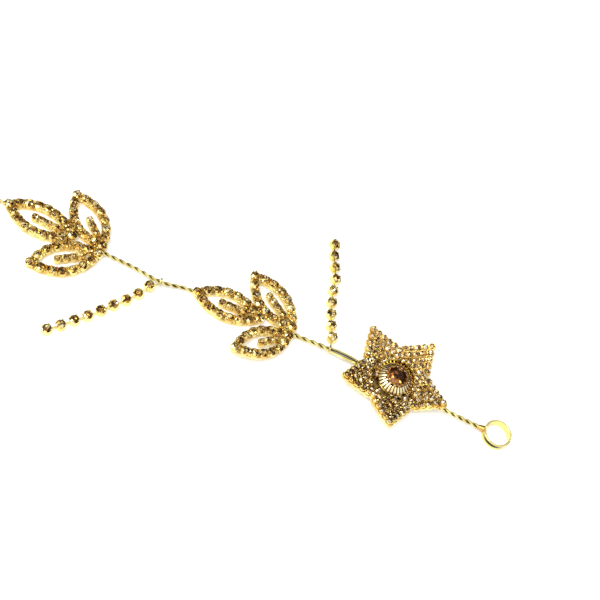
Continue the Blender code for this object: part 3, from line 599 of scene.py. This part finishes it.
def sprayPlaces(leaves, curl, leftEdge, y):
    # stones, bars, walls and wire seats of a spray in place
    plan = sprayPlan(leaves)
    half = leaf["stone"] / 2 + leaf["rim"]
    tip = plan[0][1][0][0]
    origin = np.array([leftEdge + half - tip[0], y])
    reach = leaf["length"] * leaf["curlReach"]

    def placed(points):
        # the height grows as the square of the distance from the spray's middle line
        points = np.array(points)
        share = np.where(points[:, 1] > 0, curl[0], curl[1])
        far = np.minimum(np.abs(points[:, 1]) / reach, leaf["curlMost"])
        return np.column_stack([points + origin, share * leaf["height"] * far ** 2])

    big, bigTurn, small, smallTurn, bars, rails, ribs = ([] for _ in range(7))
    for degrees, rows, rib in plan:
        turn = radians(degrees)
        for row in rows:
            along = row[2:] - row[:-2]
            big.append(row[1:-1])
            bigTurn.append(np.arctan2(along[:, 1], along[:, 0]))
            rails += zip(row[:-1], row[1:])
            bars.append((rib[0], row[-2]))
        big.append(rows[0][[0, -1]])
        bigTurn.append([turn] * 2)
        small.append(rib)
        smallTurn.append([turn] * len(rib))
        ribs += zip(rib[:-1], rib[1:])
    for i, (_, rows, _) in enumerate(plan):
        mine = np.concatenate(rows)
        for _, others, _ in plan[i + 1:]:
            other = np.concatenate(others)
            near = distances(mine, other) < leafPitch * leaf["joinReach"]
            bars += [(mine[a], other[b]) for a, b in np.argwhere(near)]
    spans = {"bars": bars, "rails": rails, "ribs": ribs}
    return {"stone": (placed(np.concatenate(big)), np.concatenate(bigTurn)),
            "ribStone": (placed(np.concatenate(small)), np.concatenate(smallTurn)),
            "tip": origin + tip - heading(leaves[0][0] - 180) * half,
            "fork": origin + np.array([half, 0]),
            **{word: [placed(side) for side in zip(*each)] for word, each in spans.items()}}


ringLow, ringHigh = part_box("end_ring_left")
ringRadius = vine["ringDiameter"] / 2
leftRing = np.array([ringLow[0] + ringRadius, (ringLow[1] + ringHigh[1]) / 2])
offset = leftRing - np.array([0, sideways["leftRing"] * leaf["length"]])
aside = {piece: offset[1] + share * leaf["length"] for piece, share in sideways.items()}

leftSpray = sprayPlaces(*sprays["left"].values(), leftRing[0] + ringRadius + vine["endWire"],
                        aside["leftSpray"])
rightSpray = sprayPlaces(*sprays["right"].values(), leftSpray["fork"][0] + vine["longWire"],
                         aside["rightSpray"])
for name, plan in (("left", leftSpray), ("right", rightSpray)):
    node, height = "leaf_spray_" + name, leaf["height"]
    grown = leaf["rim"] * leaf["stoneGrown"]
    random = np.random.default_rng(leaf["grainSeed"])
    cups, grains, walls, dark, shade = ([] for _ in range(5))
    for size, steps in (("stone", "rails"), ("ribStone", "ribs")):
        cup = settingPattern(leaf[size] / 2 + grown, height, leaf["rim"] - grown)
        cups.append(stamped(cup, standing(*plan[size])))
        # between two stones stand two grains, some darkened at random as painted shade, over a wall
        # whose top is darkened as painted shade
        grain = pinPattern(leaf[size] * leaf["grain"], height * leaf["grainFoot"],
                           height + leaf["grainTop"], leaf[size] * leaf["grainAside"])
        grains.append(stamped(grain, between(*plan[steps])[0]))
        stains = random.choice(leaf["grainPaintedShades"], 2 * len(plan[steps][0]))
        dark.append(np.repeat(stains, len(grain[0]) // 2))
        rail = barPattern(leaf[size] * leaf["railWidth"] / 2, 0.05 * mm,
                          height * leaf["railHeight"])
        walls.append(stamped(rail, barFrames(*plan[steps])))
        # painted shade: the rail's top, low between the stones, is darkened
        topPaintedShade = np.where(rail[0][:, 2] > 0.5 * mm, leaf["railPaintedShade"], 0.0)
        shade.append(np.tile(topPaintedShade, len(plan[steps][0])))
    clean = [np.zeros(len(each[0])) for each in cups]
    putPiece(node, "settings", joined(cups + grains), "plate", stain=np.concatenate(clean + dark))
    putPiece(node, "rails", joined(walls), "rail", stain=np.concatenate(shade))
    bar = barPattern(leaf["stone"] * leaf["joinWidth"], 0.1 * mm, height * leaf["joinHeight"])
    putPiece(node, "joins", stamped(bar, barFrames(*plan["bars"])), "solder")
    for size, word, seed in (("stone", "stones", 11), ("ribStone", "rib_stones", 12)):
        radius = leaf[size] / 2 + grown
        cut = stonePattern(radius, height, leaf["crown"])
        putStones(node, word, cut, radius, standing(*plan[size]), "champagne", seed)

# The star flower

flower = {
    "reach": 15.0 * mm, "turn": -9.0, "stone": 1.65 * mm, "spacing": 0.25 * mm, "bulge": 0.64,
    "height": 1.5 * mm, "crown": 0.45 * mm, "rim": 0.11 * mm, "grown": 0.06 * mm,
    "rise": 2.6 * mm, "risePower": 2.5, "petals": 5, "spread": 36.0, "grain": 0.3 * mm,
    "centreStone": 5.5 * mm, "fluteDiameter": 10.3 * mm, "flutes": 30, "fluteDepth": 0.25 * mm,
    "fluteFoot": 2.1 * mm, "fluteTop": 3.15 * mm, "centreCrown": 0.75 * mm, "centreClaws": 15,
    "groovePaintedShade": 0.95, "groovePower": 1.3, "wallPaintedShade": 0.7, "skirtReach": 0.56,
    "hubGap": 0.6 * mm, "discOverlap": 0.7 * mm, "discThickness": 0.5 * mm, "discEdge": 0.55 * mm,
    "lean": (0.35 * mm, 0.4 * mm), "smallStone": 1.05 * mm, "smallHeight": 1.35 * mm,
    "smallCrown": 0.3 * mm, "smallRim": 0.08 * mm, "smallGap": 0.2 * mm, "smallAway": 0.16 * mm,
    "bareSide": 240.0, "bareWidth": 30.0,
}
outer = flower["fluteDiameter"] / 2
flowerPitch = flower["stone"] + flower["spacing"]
flowerBulge = flowerPitch * flower["bulge"]
flowerFoot = flower["discThickness"] + vine["clearance"]


def petalRows():
    # places of a petal's stones, as distance out and aside, and how far out the notch stone is
    spread = radians(flower["spread"])
    rowPitch, sidePitch = flowerPitch * cos(spread), 2 * flowerPitch * sin(spread)
    border = heading(180 / flower["petals"])
    depth = flower["reach"] - outer - flower["hubGap"] - flowerBulge
    found, count, widest = [], 0, 0
    for row in range(1 + int(depth / rowPitch)):
        radius = flower["reach"] - row * rowPitch
        room = (radius * border[1] - flowerPitch * 0.75) / border[0]
        count = max(1, count + 1 if count < 1 + int(2 * room / sidePitch) else count - 1)
        end = (count - 1) / 2 * sidePitch
        found += [np.array([radius, k * sidePitch - end]) for k in range(count)]
        if count > widest:
            widest = count
            notch = found[-1] @ border
    least = (flower["stone"] / cos(radians(22.5)) + flowerPitch) / 2
    found = np.array(found)
    while np.linalg.norm(found - border * notch, axis=1).min() < least:
        notch -= flowerPitch / 100
    return found, notch


petalPlan, notch = petalRows()
flowerAt = np.array([rightSpray["fork"][0] + vine["middleWire"] + notch + flowerBulge,
                     aside["flower"]])


def flowerLift(radius):
    # the petals sweep up with a power of the distance from the middle
    return flower["rise"] * (radius / flower["reach"]) ** flower["risePower"]


def onFlower(places, turns):
    # frames on the petals' upward sweep, along the slope of it
    radius = np.linalg.norm(places, axis=1)
    slope = flowerLift(radius) * flower["risePower"] / radius
    normals = np.column_stack([-places * (slope / radius)[:, None], np.ones(len(places))])
    spots = np.column_stack([places + flowerAt, flowerFoot + flowerLift(radius)])
    return standing(spots, turns, normals)


def flowerPlaces(plan, notches=()):
    # a petal's plan and the notch stones, repeated round the flower
    step = 360 / flower["petals"]
    notches = np.array(notches)[:, None]
    places, turns = [], []
    for degrees in flower["turn"] + step * np.arange(flower["petals"]):
        out = heading(degrees)
        places += [plan[:, :1] * out + plan[:, 1:] * leftOf(out),
                   heading(degrees + step / 2) * notches]
        turns += [radians(degrees)] * len(plan)
        turns += [radians(degrees + step / 2)] * len(notches)
    return np.concatenate(places), np.array(turns)


starPlaces, turns = flowerPlaces(petalPlan, [notch, notch - flowerPitch * 0.97])
starFrames = onFlower(starPlaces, turns)
neighbours = np.abs(np.diff(petalPlan[:, 0])) < 0.01 * mm
grainFrames = onFlower(*flowerPlaces((petalPlan[1:] + petalPlan[:-1])[neighbours] / 2))
# small stones fill the way from the petals to the fluted ring, apart from one bare side
smallRadius = flower["smallStone"] / 2
away = outer + smallRadius + flower["smallAway"]
around = np.arange(int(tau * away / (flower["smallStone"] + flower["smallGap"])))
around = around * tau / len(around)
smallPlaces = np.column_stack([np.cos(around), np.sin(around)]) * away + flower["lean"]
near = distances(smallPlaces, starPlaces).min(axis=1)
bare = np.abs((np.degrees(around) - flower["bareSide"] + 180) % 360 - 180) < flower["bareWidth"]
kept = (near > (flower["stone"] + flower["smallStone"]) * 0.47) & ~bare
smallFrames = onFlower(smallPlaces[kept], around[kept])
starRadius, height = flower["stone"] / 2 + flower["grown"], flower["height"]
cups = [settingPattern(starRadius, height, flower["rim"], foot=1.0, sides=12),
        pinPattern(flower["grain"], height * 0.5, height + 0.2 * mm, 0),
        settingPattern(smallRadius, flower["smallHeight"], flower["smallRim"], foot=1.0, sides=10)]
settings = [stamped(*each) for each in zip(cups, (starFrames, grainFrames, smallFrames))]
putPiece("star_flower", "settings", joined(settings), "plate")
collar = turned([(0, 0.02 * mm), (flowerBulge * 0.97, 0.02 * mm), (flowerBulge, height * 0.3),
                 (flowerBulge * 0.95, height * 0.62), (0, height * 0.66)], 8)
skirt = turned([(0, -0.6 * mm), (flowerBulge * 1.08, -0.6 * mm), (flowerBulge * 1.02, 0.3 * mm),
                (0, 0.3 * mm)], 8)
# painted shade: the collars' tops, down between the stones, are darkened
shade = np.where(collar[0][:, 2] > height * 0.5, flower["wallPaintedShade"], 0.0)
putPiece("star_flower", "joins", stamped(collar, starFrames), "rail",
         stain=np.tile(shade, len(starFrames)))
# painted shade: dark skirts under the innermost stones fill the gaps there
innermost = np.linalg.norm(starPlaces, axis=1) < flower["reach"] * flower["skirtReach"]
putPiece("star_flower", "skirts", stamped(skirt, starFrames[innermost]), "shaded")
putStones("star_flower", "stones", stonePattern(starRadius, height, flower["crown"]), starRadius,
          starFrames, "rose", 21)
smallCut = stonePattern(smallRadius, flower["smallHeight"], flower["smallCrown"])
putStones("star_flower", "small_stones", smallCut, smallRadius, smallFrames, "rose", 22)


def fluteDrop(sides):
    # the ring's upper face falls and rises as a row of half cylinders, one for each flute
    angle = np.arange(sides) * tau / sides
    lobe = np.abs(np.sin(angle * flower["flutes"] / 2))
    rows = np.array([0, 0, 1, 1, 1, 0.6, 0, 0])[:, None]
    return flower["fluteDepth"] * 1.6 * (1 - np.sqrt(1 - (1 - lobe) ** 2 * 0.98)) * rows


foot, top = flower["fluteFoot"], flower["fluteTop"]
neck = outer - flower["hubGap"]
gemRadius = flower["centreStone"] / 2
seat = gemRadius + 0.24 * mm
discRadius = outer + flower["hubGap"] + flower["discOverlap"] + flower["discEdge"]
thick = flower["discThickness"]
disc = turned([(0, 0), (discRadius - 0.1 * mm, 0), (discRadius, 0.1 * mm),
               (discRadius, thick - 0.1 * mm), (discRadius - 0.1 * mm, thick), (0, thick)], 64)
sides = flower["flutes"] * 10
hub = turned([(0, 0.2 * mm), (neck, 0.2 * mm), (neck, foot - 0.5 * mm), (outer, foot - 0.2 * mm),
              (outer - 0.12 * mm, foot), ((outer + seat) / 2, (foot + top) / 2 + 0.05 * mm),
              (seat + 0.25 * mm, top - 0.1 * mm), (seat, top), (seat - 0.2 * mm, top - 0.05 * mm),
              (0, top - 0.06 * mm)], sides, fluteDrop(sides))
hubFrame = standingAt(flowerAt + flower["lean"])
# painted shade: the backing disc takes the darkened shaded gold
putPiece("flower_centre", "disc", stamped(disc, standingAt(flowerAt)), "shaded")
# painted shade: the grooves between the flutes are darkened
x, y, z = hub[0].T
groove = 1 - np.abs(np.sin(np.arctan2(y, x) * flower["flutes"] / 2))
onFlutes = (z > foot - 0.6 * mm) & (np.hypot(x, y) > seat)
shade = groove ** flower["groovePower"] * onFlutes * flower["groovePaintedShade"]
putPiece("flower_centre", "mount", stamped(hub, hubFrame), "flutes", sharp=50, stain=shade)
tabs = clawsPattern(gemRadius, seat + 0.45 * mm, top - 0.05 * mm, 1.7 * mm,
                    flower["centreClaws"], 0.2)
putPiece("flower_centre", "claws", stamped(tabs, hubFrame), "claws")
centreCut = stonePattern(gemRadius, top, flower["centreCrown"], sides=12)
putStones("flower_centre", "stone", centreCut, gemRadius, hubFrame, "smoky", 31,
          spread=0.8)

# The wires

# the knots, where the strands of cup chain hang, are shares of the long and the middle wire
twist = {"pitch": 4.6 * mm, "steps": 24, "sides": 10, "touch": 0.97, "floorGap": 0.01 * mm,
         "eye": (12.0 * mm, 21.0 * mm, 0.3 * mm), "eyeStrand": 0.31, "eyePower": 0.8,
         "darkFrom": 0.1, "darkOver": 0.5, "stain": 0.92, "knots": (0.66, 0.52)}


def putWire(node, width, points, eye=None):
    # two strands that turn round each other: a helix on each side of the route, thinner where the
    # floor is near. Between the two lengths of the eye they lie side by side and bow apart
    route, length = smoothRoute(points, twist["pitch"] / twist["steps"])
    strand = np.minimum(width / 4, route[:, 2] / 2 - twist["floorGap"])
    side, over = across(route)
    turn = length * tau / twist["pitch"]
    spread = strand * twist["touch"]
    if eye:
        start, stop, apart = eye
        inside = np.clip((length - start) / (stop - start), 0, 1)
        bow = np.sin(inside * pi) ** twist["eyePower"]
        strand = strand + (np.minimum(width * twist["eyeStrand"], route[:, 2] / 2) - strand) * bow
        spread = strand * twist["touch"] + apart / 2 * bow
        held = round(start / (twist["pitch"] / 2)) * pi
        turn = np.where(length < start, length / start * held,
                        held + np.maximum(0, length - stop) * tau / twist["pitch"])
    away = (side * np.cos(turn)[:, None] + over * np.sin(turn)[:, None]) * spread[:, None]
    # painted shade in the crevice: a point is darkened where it faces the other strand
    inward = unit(away)
    tubes, stain = [], []
    for sign in (1, -1):
        path = route + sign * away
        tubes.append(tube(path, strand, twist["sides"]))
        out = tubes[-1][0][:-2].reshape(len(path), twist["sides"], 3) - path[:, None]
        facing = -sign * np.einsum("ijk,ik->ij", out, inward) / strand[:, None]
        dark = np.clip((facing - twist["darkFrom"]) / twist["darkOver"], 0, 1) * twist["stain"]
        stain += [dark.ravel(), np.zeros(2)]
    putPiece(node, "strands", joined(tubes), "wire", slot="gold", stain=np.concatenate(stain))


along = np.array([1.0, 0.0])
sunk = along * vine["socketDepth"]
halfWire = vine["wireWidth"] / 2
low = halfWire + vine["clearance"]
midRing = vine["ringHeight"] / 2
wireSeat = vine["wireSeat"]
boreEnd = ringRadius + vine["socketReach"] - vine["socketDepth"] + vine["clearance"]


def underFlower(distance, out):
    # a point under the petals' sweep, and never lower than the wire's own half width
    height = flowerFoot + flowerLift(distance) - vine["clearance"] - halfWire
    return at(flowerAt + out * distance, max(halfWire, height))


leftTip, leftFork, rightTip, rightFork = (
    spray[end] for spray in (leftSpray, rightSpray) for end in ("tip", "fork"))
start = leftRing + along * boreEnd
axis = heading(sprays["left"]["leaves"][0][0] - 180)
putWire("wire_left", vine["slimWire"], [
    at(start, midRing), at(start + sunk, midRing),
    at((start + leftTip) / 2 + sunk, (midRing + low) / 2),
    at(leftTip - axis * wireSeat * 0.5, low), at(leftTip + axis * wireSeat, low)])
knotOne = np.array([leftFork[0] + vine["longWire"] * twist["knots"][0], aside["firstKnot"],
                    vine["knotHeight"]])
axis = heading(sprays["right"]["leaves"][0][0] - 180)
bow = -(leftFork[1] - offset[1]) * 0.1
putWire("wire_long", vine["slimWire"], [
    at(leftFork - along * wireSeat, low), at(leftFork + along * wireSeat * 0.5, low),
    (at(leftFork, low) + knotOne) / 2 + np.array([0, bow, 0]), knotOne,
    at(rightTip - axis * wireSeat, low), at(rightTip + axis * wireSeat, low)])
toward = (rightFork - flowerAt) / np.linalg.norm(rightFork - flowerAt)
knotTwo = np.array([rightFork[0] + vine["middleWire"] * twist["knots"][1], aside["secondKnot"],
                    vine["knotHeight"]])
notchEdge = notch + flowerBulge
putWire("wire_middle", vine["wideWire"], [
    at(rightFork - along * wireSeat, low), at(rightFork + along * wireSeat * 0.5, low), knotTwo,
    underFlower(notchEdge + wireSeat, toward), underFlower(notchEdge - wireSeat, toward)],
    eye=twist["eye"])
petal = heading(flower["turn"])
petalEdge = flowerAt + petal * (flower["reach"] + flowerBulge)
rightRing = np.array([petalEdge[0] + vine["endWire"] + ringRadius, aside["rightRing"]])
stop = rightRing - along * boreEnd
inner = outer + flower["hubGap"] + flower["discOverlap"] + flowerPitch * 1.5
putWire("wire_right", vine["wideWire"], [
    underFlower(inner, petal), underFlower(inner + flowerPitch, petal),
    at(petalEdge, midRing + vine["wireThickness"]), at(stop - sunk, midRing),
    at(stop, midRing)])

# The end rings


def bandPattern(height, wall, diameter, sides=96):
    # a rectangle with rounded corners carried round a circle: each corner arc is a quarter turn
    bend = wall * 0.38
    t = np.linspace(0, pi / 2, 5)
    inside, outside = diameter / 2 - wall + bend, diameter / 2 - bend
    centres = ((outside, bend, -pi / 2), (outside, height - bend, 0),
               (inside, height - bend, pi / 2), (inside, bend, pi))
    r = [c + bend * np.cos(t + a) for c, _, a in centres]
    z = [c + bend * np.sin(t + a) for _, c, a in centres]
    wallRows = np.linspace(bend, height - bend, 10)[1:-1]
    r.insert(1, np.full(len(wallRows), diameter / 2))
    z.insert(1, wallRows)
    r, z = np.concatenate(r), np.concatenate(z)
    angle = np.arange(sides) * tau / sides
    points = np.stack([r[:, None] * np.cos(angle), r[:, None] * np.sin(angle),
                       np.repeat(z[:, None], sides, axis=1)], axis=-1).reshape(-1, 3)
    return points, [gridFaces(len(r), sides, closedRows=True)]


# where painted shade and painted reflection darken the ring's outer wall
ringPaintedShade = {"height": 1.72, "tall": 0.66, "direction": -106, "wide": 52}


def bandPaintedShade(points, diameter):
    # painted shade and painted reflection: how dark the outer wall is, a bell in height times a
    # bell in the direction from the middle
    away = np.hypot(points[:, 0], points[:, 1])
    turn = np.degrees(np.arctan2(points[:, 1], points[:, 0])) - ringPaintedShade["direction"]
    turn = (turn + 180) % 360 - 180
    high = np.exp(-((points[:, 2] / mm - ringPaintedShade["height"]) / ringPaintedShade["tall"]) ** 6)
    wide = np.exp(-(turn / ringPaintedShade["wide"]) ** 4)
    return high * wide * (away > diameter / 2 - 0.1 * mm)


def socketPattern():
    # a drop of solder turned about X, drawn out along the wire
    reach = ringRadius + vine["socketReach"]
    root = ringRadius - vine["ringWall"] * 0.7
    bore = halfWire
    profile = [(0, root), (1.02 * mm, root), (0.98 * mm, root + 0.45 * mm),
               (0.84 * mm, root + 1.0 * mm), (0.7 * mm, reach - 0.35 * mm),
               (bore * 1.2, reach - 0.06 * mm), (bore * 0.8, reach), (0, reach)]
    points, faces = turned(profile, 20)
    return np.column_stack([points[:, 2], points[:, 0], points[:, 1]]), faces


for name, place, degrees in (("left", leftRing, 0), ("right", rightRing, 180)):
    node = "end_ring_" + name
    band = bandPattern(vine["ringHeight"], vine["ringWall"], vine["ringDiameter"])
    putPiece(node, "band", stamped(band, standingAt(place)), "band", slot="gold", sharp=60,
             stain=bandPaintedShade(band[0], vine["ringDiameter"]))
    drop = stamped(socketPattern(), standingAt(place, midRing, radians(degrees)))
    putPiece(node, "solder", drop, "solder", slot="gold", sharp=60)

# The strands of cup chain

cupChain = {
    "diameter": 3.0 * mm, "height": 1.5 * mm, "crown": 0.55 * mm, "pitch": 3.85 * mm,
    "floor": 0.3 * mm, "room": 0.8 * mm, "headPlace": 0.55 * mm, "hookWire": 0.4 * mm,
    "stone": 2.62 * mm, "rim": 0.75, "clawWidth": 0.29, "fall": (1.0, 0.5, 0.15, 0, 0, 0, 0, 0, 0),
}
strands = {
    "strand_1": {"knot": knotOne, "side": -1, "leans": (0,) * 9,
                 "heads": (216, 243, 236, 231, 233, 232, 228, 229, 226)},
    "strand_2": {"knot": knotTwo, "side": 1, "leans": (0, 0, 0, 4, 10, 18, 24, 28, 30),
                 "heads": (99, 111, 108, 107, 105, 100, 113, 114, 106)},
}


def strandFrames(plan):
    # the cups' frames: X along the strand, away from the wire, and Z leaning to its right
    roomMiddle = cupChain["floor"] + cupChain["room"] / 2
    loop = halfWire + vine["clearance"] + cupChain["hookWire"] / 2
    hang = plan["knot"][:2] + np.array([0, plan["side"]]) * loop
    reach = (cupChain["headPlace"] + cupChain["diameter"] / 2 + vine["clearance"]
             + cupChain["hookWire"])
    steps = [reach] + [cupChain["pitch"]] * 8
    point, places = hang, []
    for degrees, fall, step in zip(plan["heads"], cupChain["fall"], steps):
        point = point + heading(degrees) * step
        places.append(at(point, (vine["knotHeight"] - roomMiddle) * fall))
    for i in range(1, len(places)):
        step = places[i] - places[i - 1]
        places[i] = places[i - 1] + step * (cupChain["pitch"] / np.linalg.norm(step))
    path = np.concatenate([[at(hang, places[0][2])], places, places[-1:]])
    x = unit(path[2:] - path[:-2])
    y = unit(np.cross(up, x))
    z = np.cross(x, y)
    lean = np.radians(np.array(plan["leans"], float))[:, None]
    return asFrames(x, y * np.cos(lean) + z * np.sin(lean), z * np.cos(lean) - y * np.sin(lean),
                    path[1:-1] + up * cupChain["diameter"] / 2 * np.sin(np.abs(lean)))


radius = cupChain["stone"] / 2
rim = (cupChain["diameter"] / 2 - radius) * cupChain["rim"]
cup = settingPattern(radius, cupChain["height"], rim, foot=1.0, sides=18,
                     wide=cupChain["clawWidth"])
cut = stonePattern(radius, cupChain["height"], cupChain["crown"])
for name, plan in strands.items():
    frames = strandFrames(plan)
    nodes = [f"{name}_cup_{i + 1}" for i in range(len(frames))]
    putPiece(name, "cups", stamped(cup, frames), "chain", nodes)
    putStones(name, "stones", cut, radius, frames, "champagne", 41 + plan["side"], nodes)

for name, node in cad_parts.items():
    if "_link_" in name or "_hook" in name:
        node.data.materials.clear()
        node.data.materials.append(finishes["wire"])

# Floor, light and camera

studio = {
    "floor": (0.93, 0.925, 0.915), "floorSize": 3.0, "floorDrop": 0.03 * mm, "floorRoughness": 0.6,
    "backdrop": (0.86, 0.86, 0.85), "sky": 1.3, "dome": (-0.1, -0.42, 0.9), "glow": 0.2,
    "skyTones": [(0.0, (0.015, 0.015, 0.015)), (0.2, (0.02, 0.02, 0.02)),
                 (0.42, (0.42, 0.42, 0.41)), (0.75, (1.0, 1.0, 1.0))],
    "lens": 75.0, "distance": 350.0 * mm, "elevation": 57.1, "azimuth": -94.5, "roll": 28.0,
    "aim": (18.127 * mm, 9.8 * mm, 0.0),
}
lamps = {  # place, width and height, and power; they point at the middle
    "overhead": ((-0.25, -0.15, 0.75), (0.45, 0.35), 3.2),
    "side": ((0.7, 0.45, 0.5), (0.15, 0.15), 0.7),
}


def makeFloor():
    half = studio["floorSize"] / 2
    z = cadBox[0][2] - studio["floorDrop"]
    mesh = bpy.data.meshes.new("floor")
    corners = [(-half, -half, z), (half, -half, z), (half, half, z), (-half, half, z)]
    mesh.from_pydata(corners, [], [(0, 1, 2, 3)])
    material, _, shader = newMaterial("paper")
    feed(None, shader, {"Base Color": (*studio["floor"], 1), "Emission Color": (1, 1, 1, 1),
                        "Roughness": studio["floorRoughness"],
                        "Emission Strength": studio["glow"]})
    mesh.materials.append(material)
    addObject("floor", mesh)


def makeSky():
    # a dome of light leaning towards the front: the cosine of the angle from its middle sets the
    # brightness, so the metal reflects a dark far horizon. Behind the vine it is plain and pale
    world = bpy.data.worlds.new("studio")
    bpy.context.scene.world = world
    world.use_nodes = True
    tree = world.node_tree
    place = addNode(tree, "TexCoord").outputs["Generated"]
    facing = addNode(tree, "VectorMath", {0: place, 1: studio["dome"]}, operation="DOT_PRODUCT")
    dome = tree.nodes["Background"]
    feed(tree, dome, {"Strength": studio["sky"],
                      "Color": ramp(tree, facing.outputs["Value"], studio["skyTones"])})
    plain = addNode(tree, "Background", {"Color": (*studio["backdrop"], 1)})
    path = addNode(tree, "LightPath").outputs["Is Camera Ray"]
    either = addNode(tree, "MixShader", {0: path, 1: dome.outputs[0], 2: plain.outputs[0]})
    feed(tree, tree.nodes["World Output"], {"Surface": either.outputs[0]})


def addCamera():
    # the camera stands out from its aim, at the elevation and azimuth, and is rolled about its view
    data = bpy.data.cameras.new("camera")
    data.lens = studio["lens"]
    data.sensor_width = 36.0
    data.clip_start = 0.01
    camera = addObject("camera", data)
    lift, turn = radians(studio["elevation"]), radians(studio["azimuth"])
    out = Vector((cos(lift) * cos(turn), cos(lift) * sin(turn), sin(lift)))
    aim = Vector(studio["aim"])
    facing = out.to_track_quat("Z", "Y").to_matrix().to_4x4()
    rolled = facing @ Matrix.Rotation(radians(studio["roll"]), 4, "Z")
    camera.matrix_world = Matrix.Translation(aim + out * studio["distance"]) @ rolled
    bpy.context.scene.camera = camera


makeFloor()
makeSky()
for name, (place, size, power) in lamps.items():
    light = bpy.data.lights.new(name, "AREA")
    light.shape = "RECTANGLE"
    light.size, light.size_y = size
    light.energy = power
    lamp = addObject(name, light)
    lamp.location = place
    lamp.rotation_euler = (-Vector(place)).to_track_quat("-Z", "Y").to_euler()
addCamera()
bpy.context.scene.view_settings.view_transform = "Standard"
print("stage set")
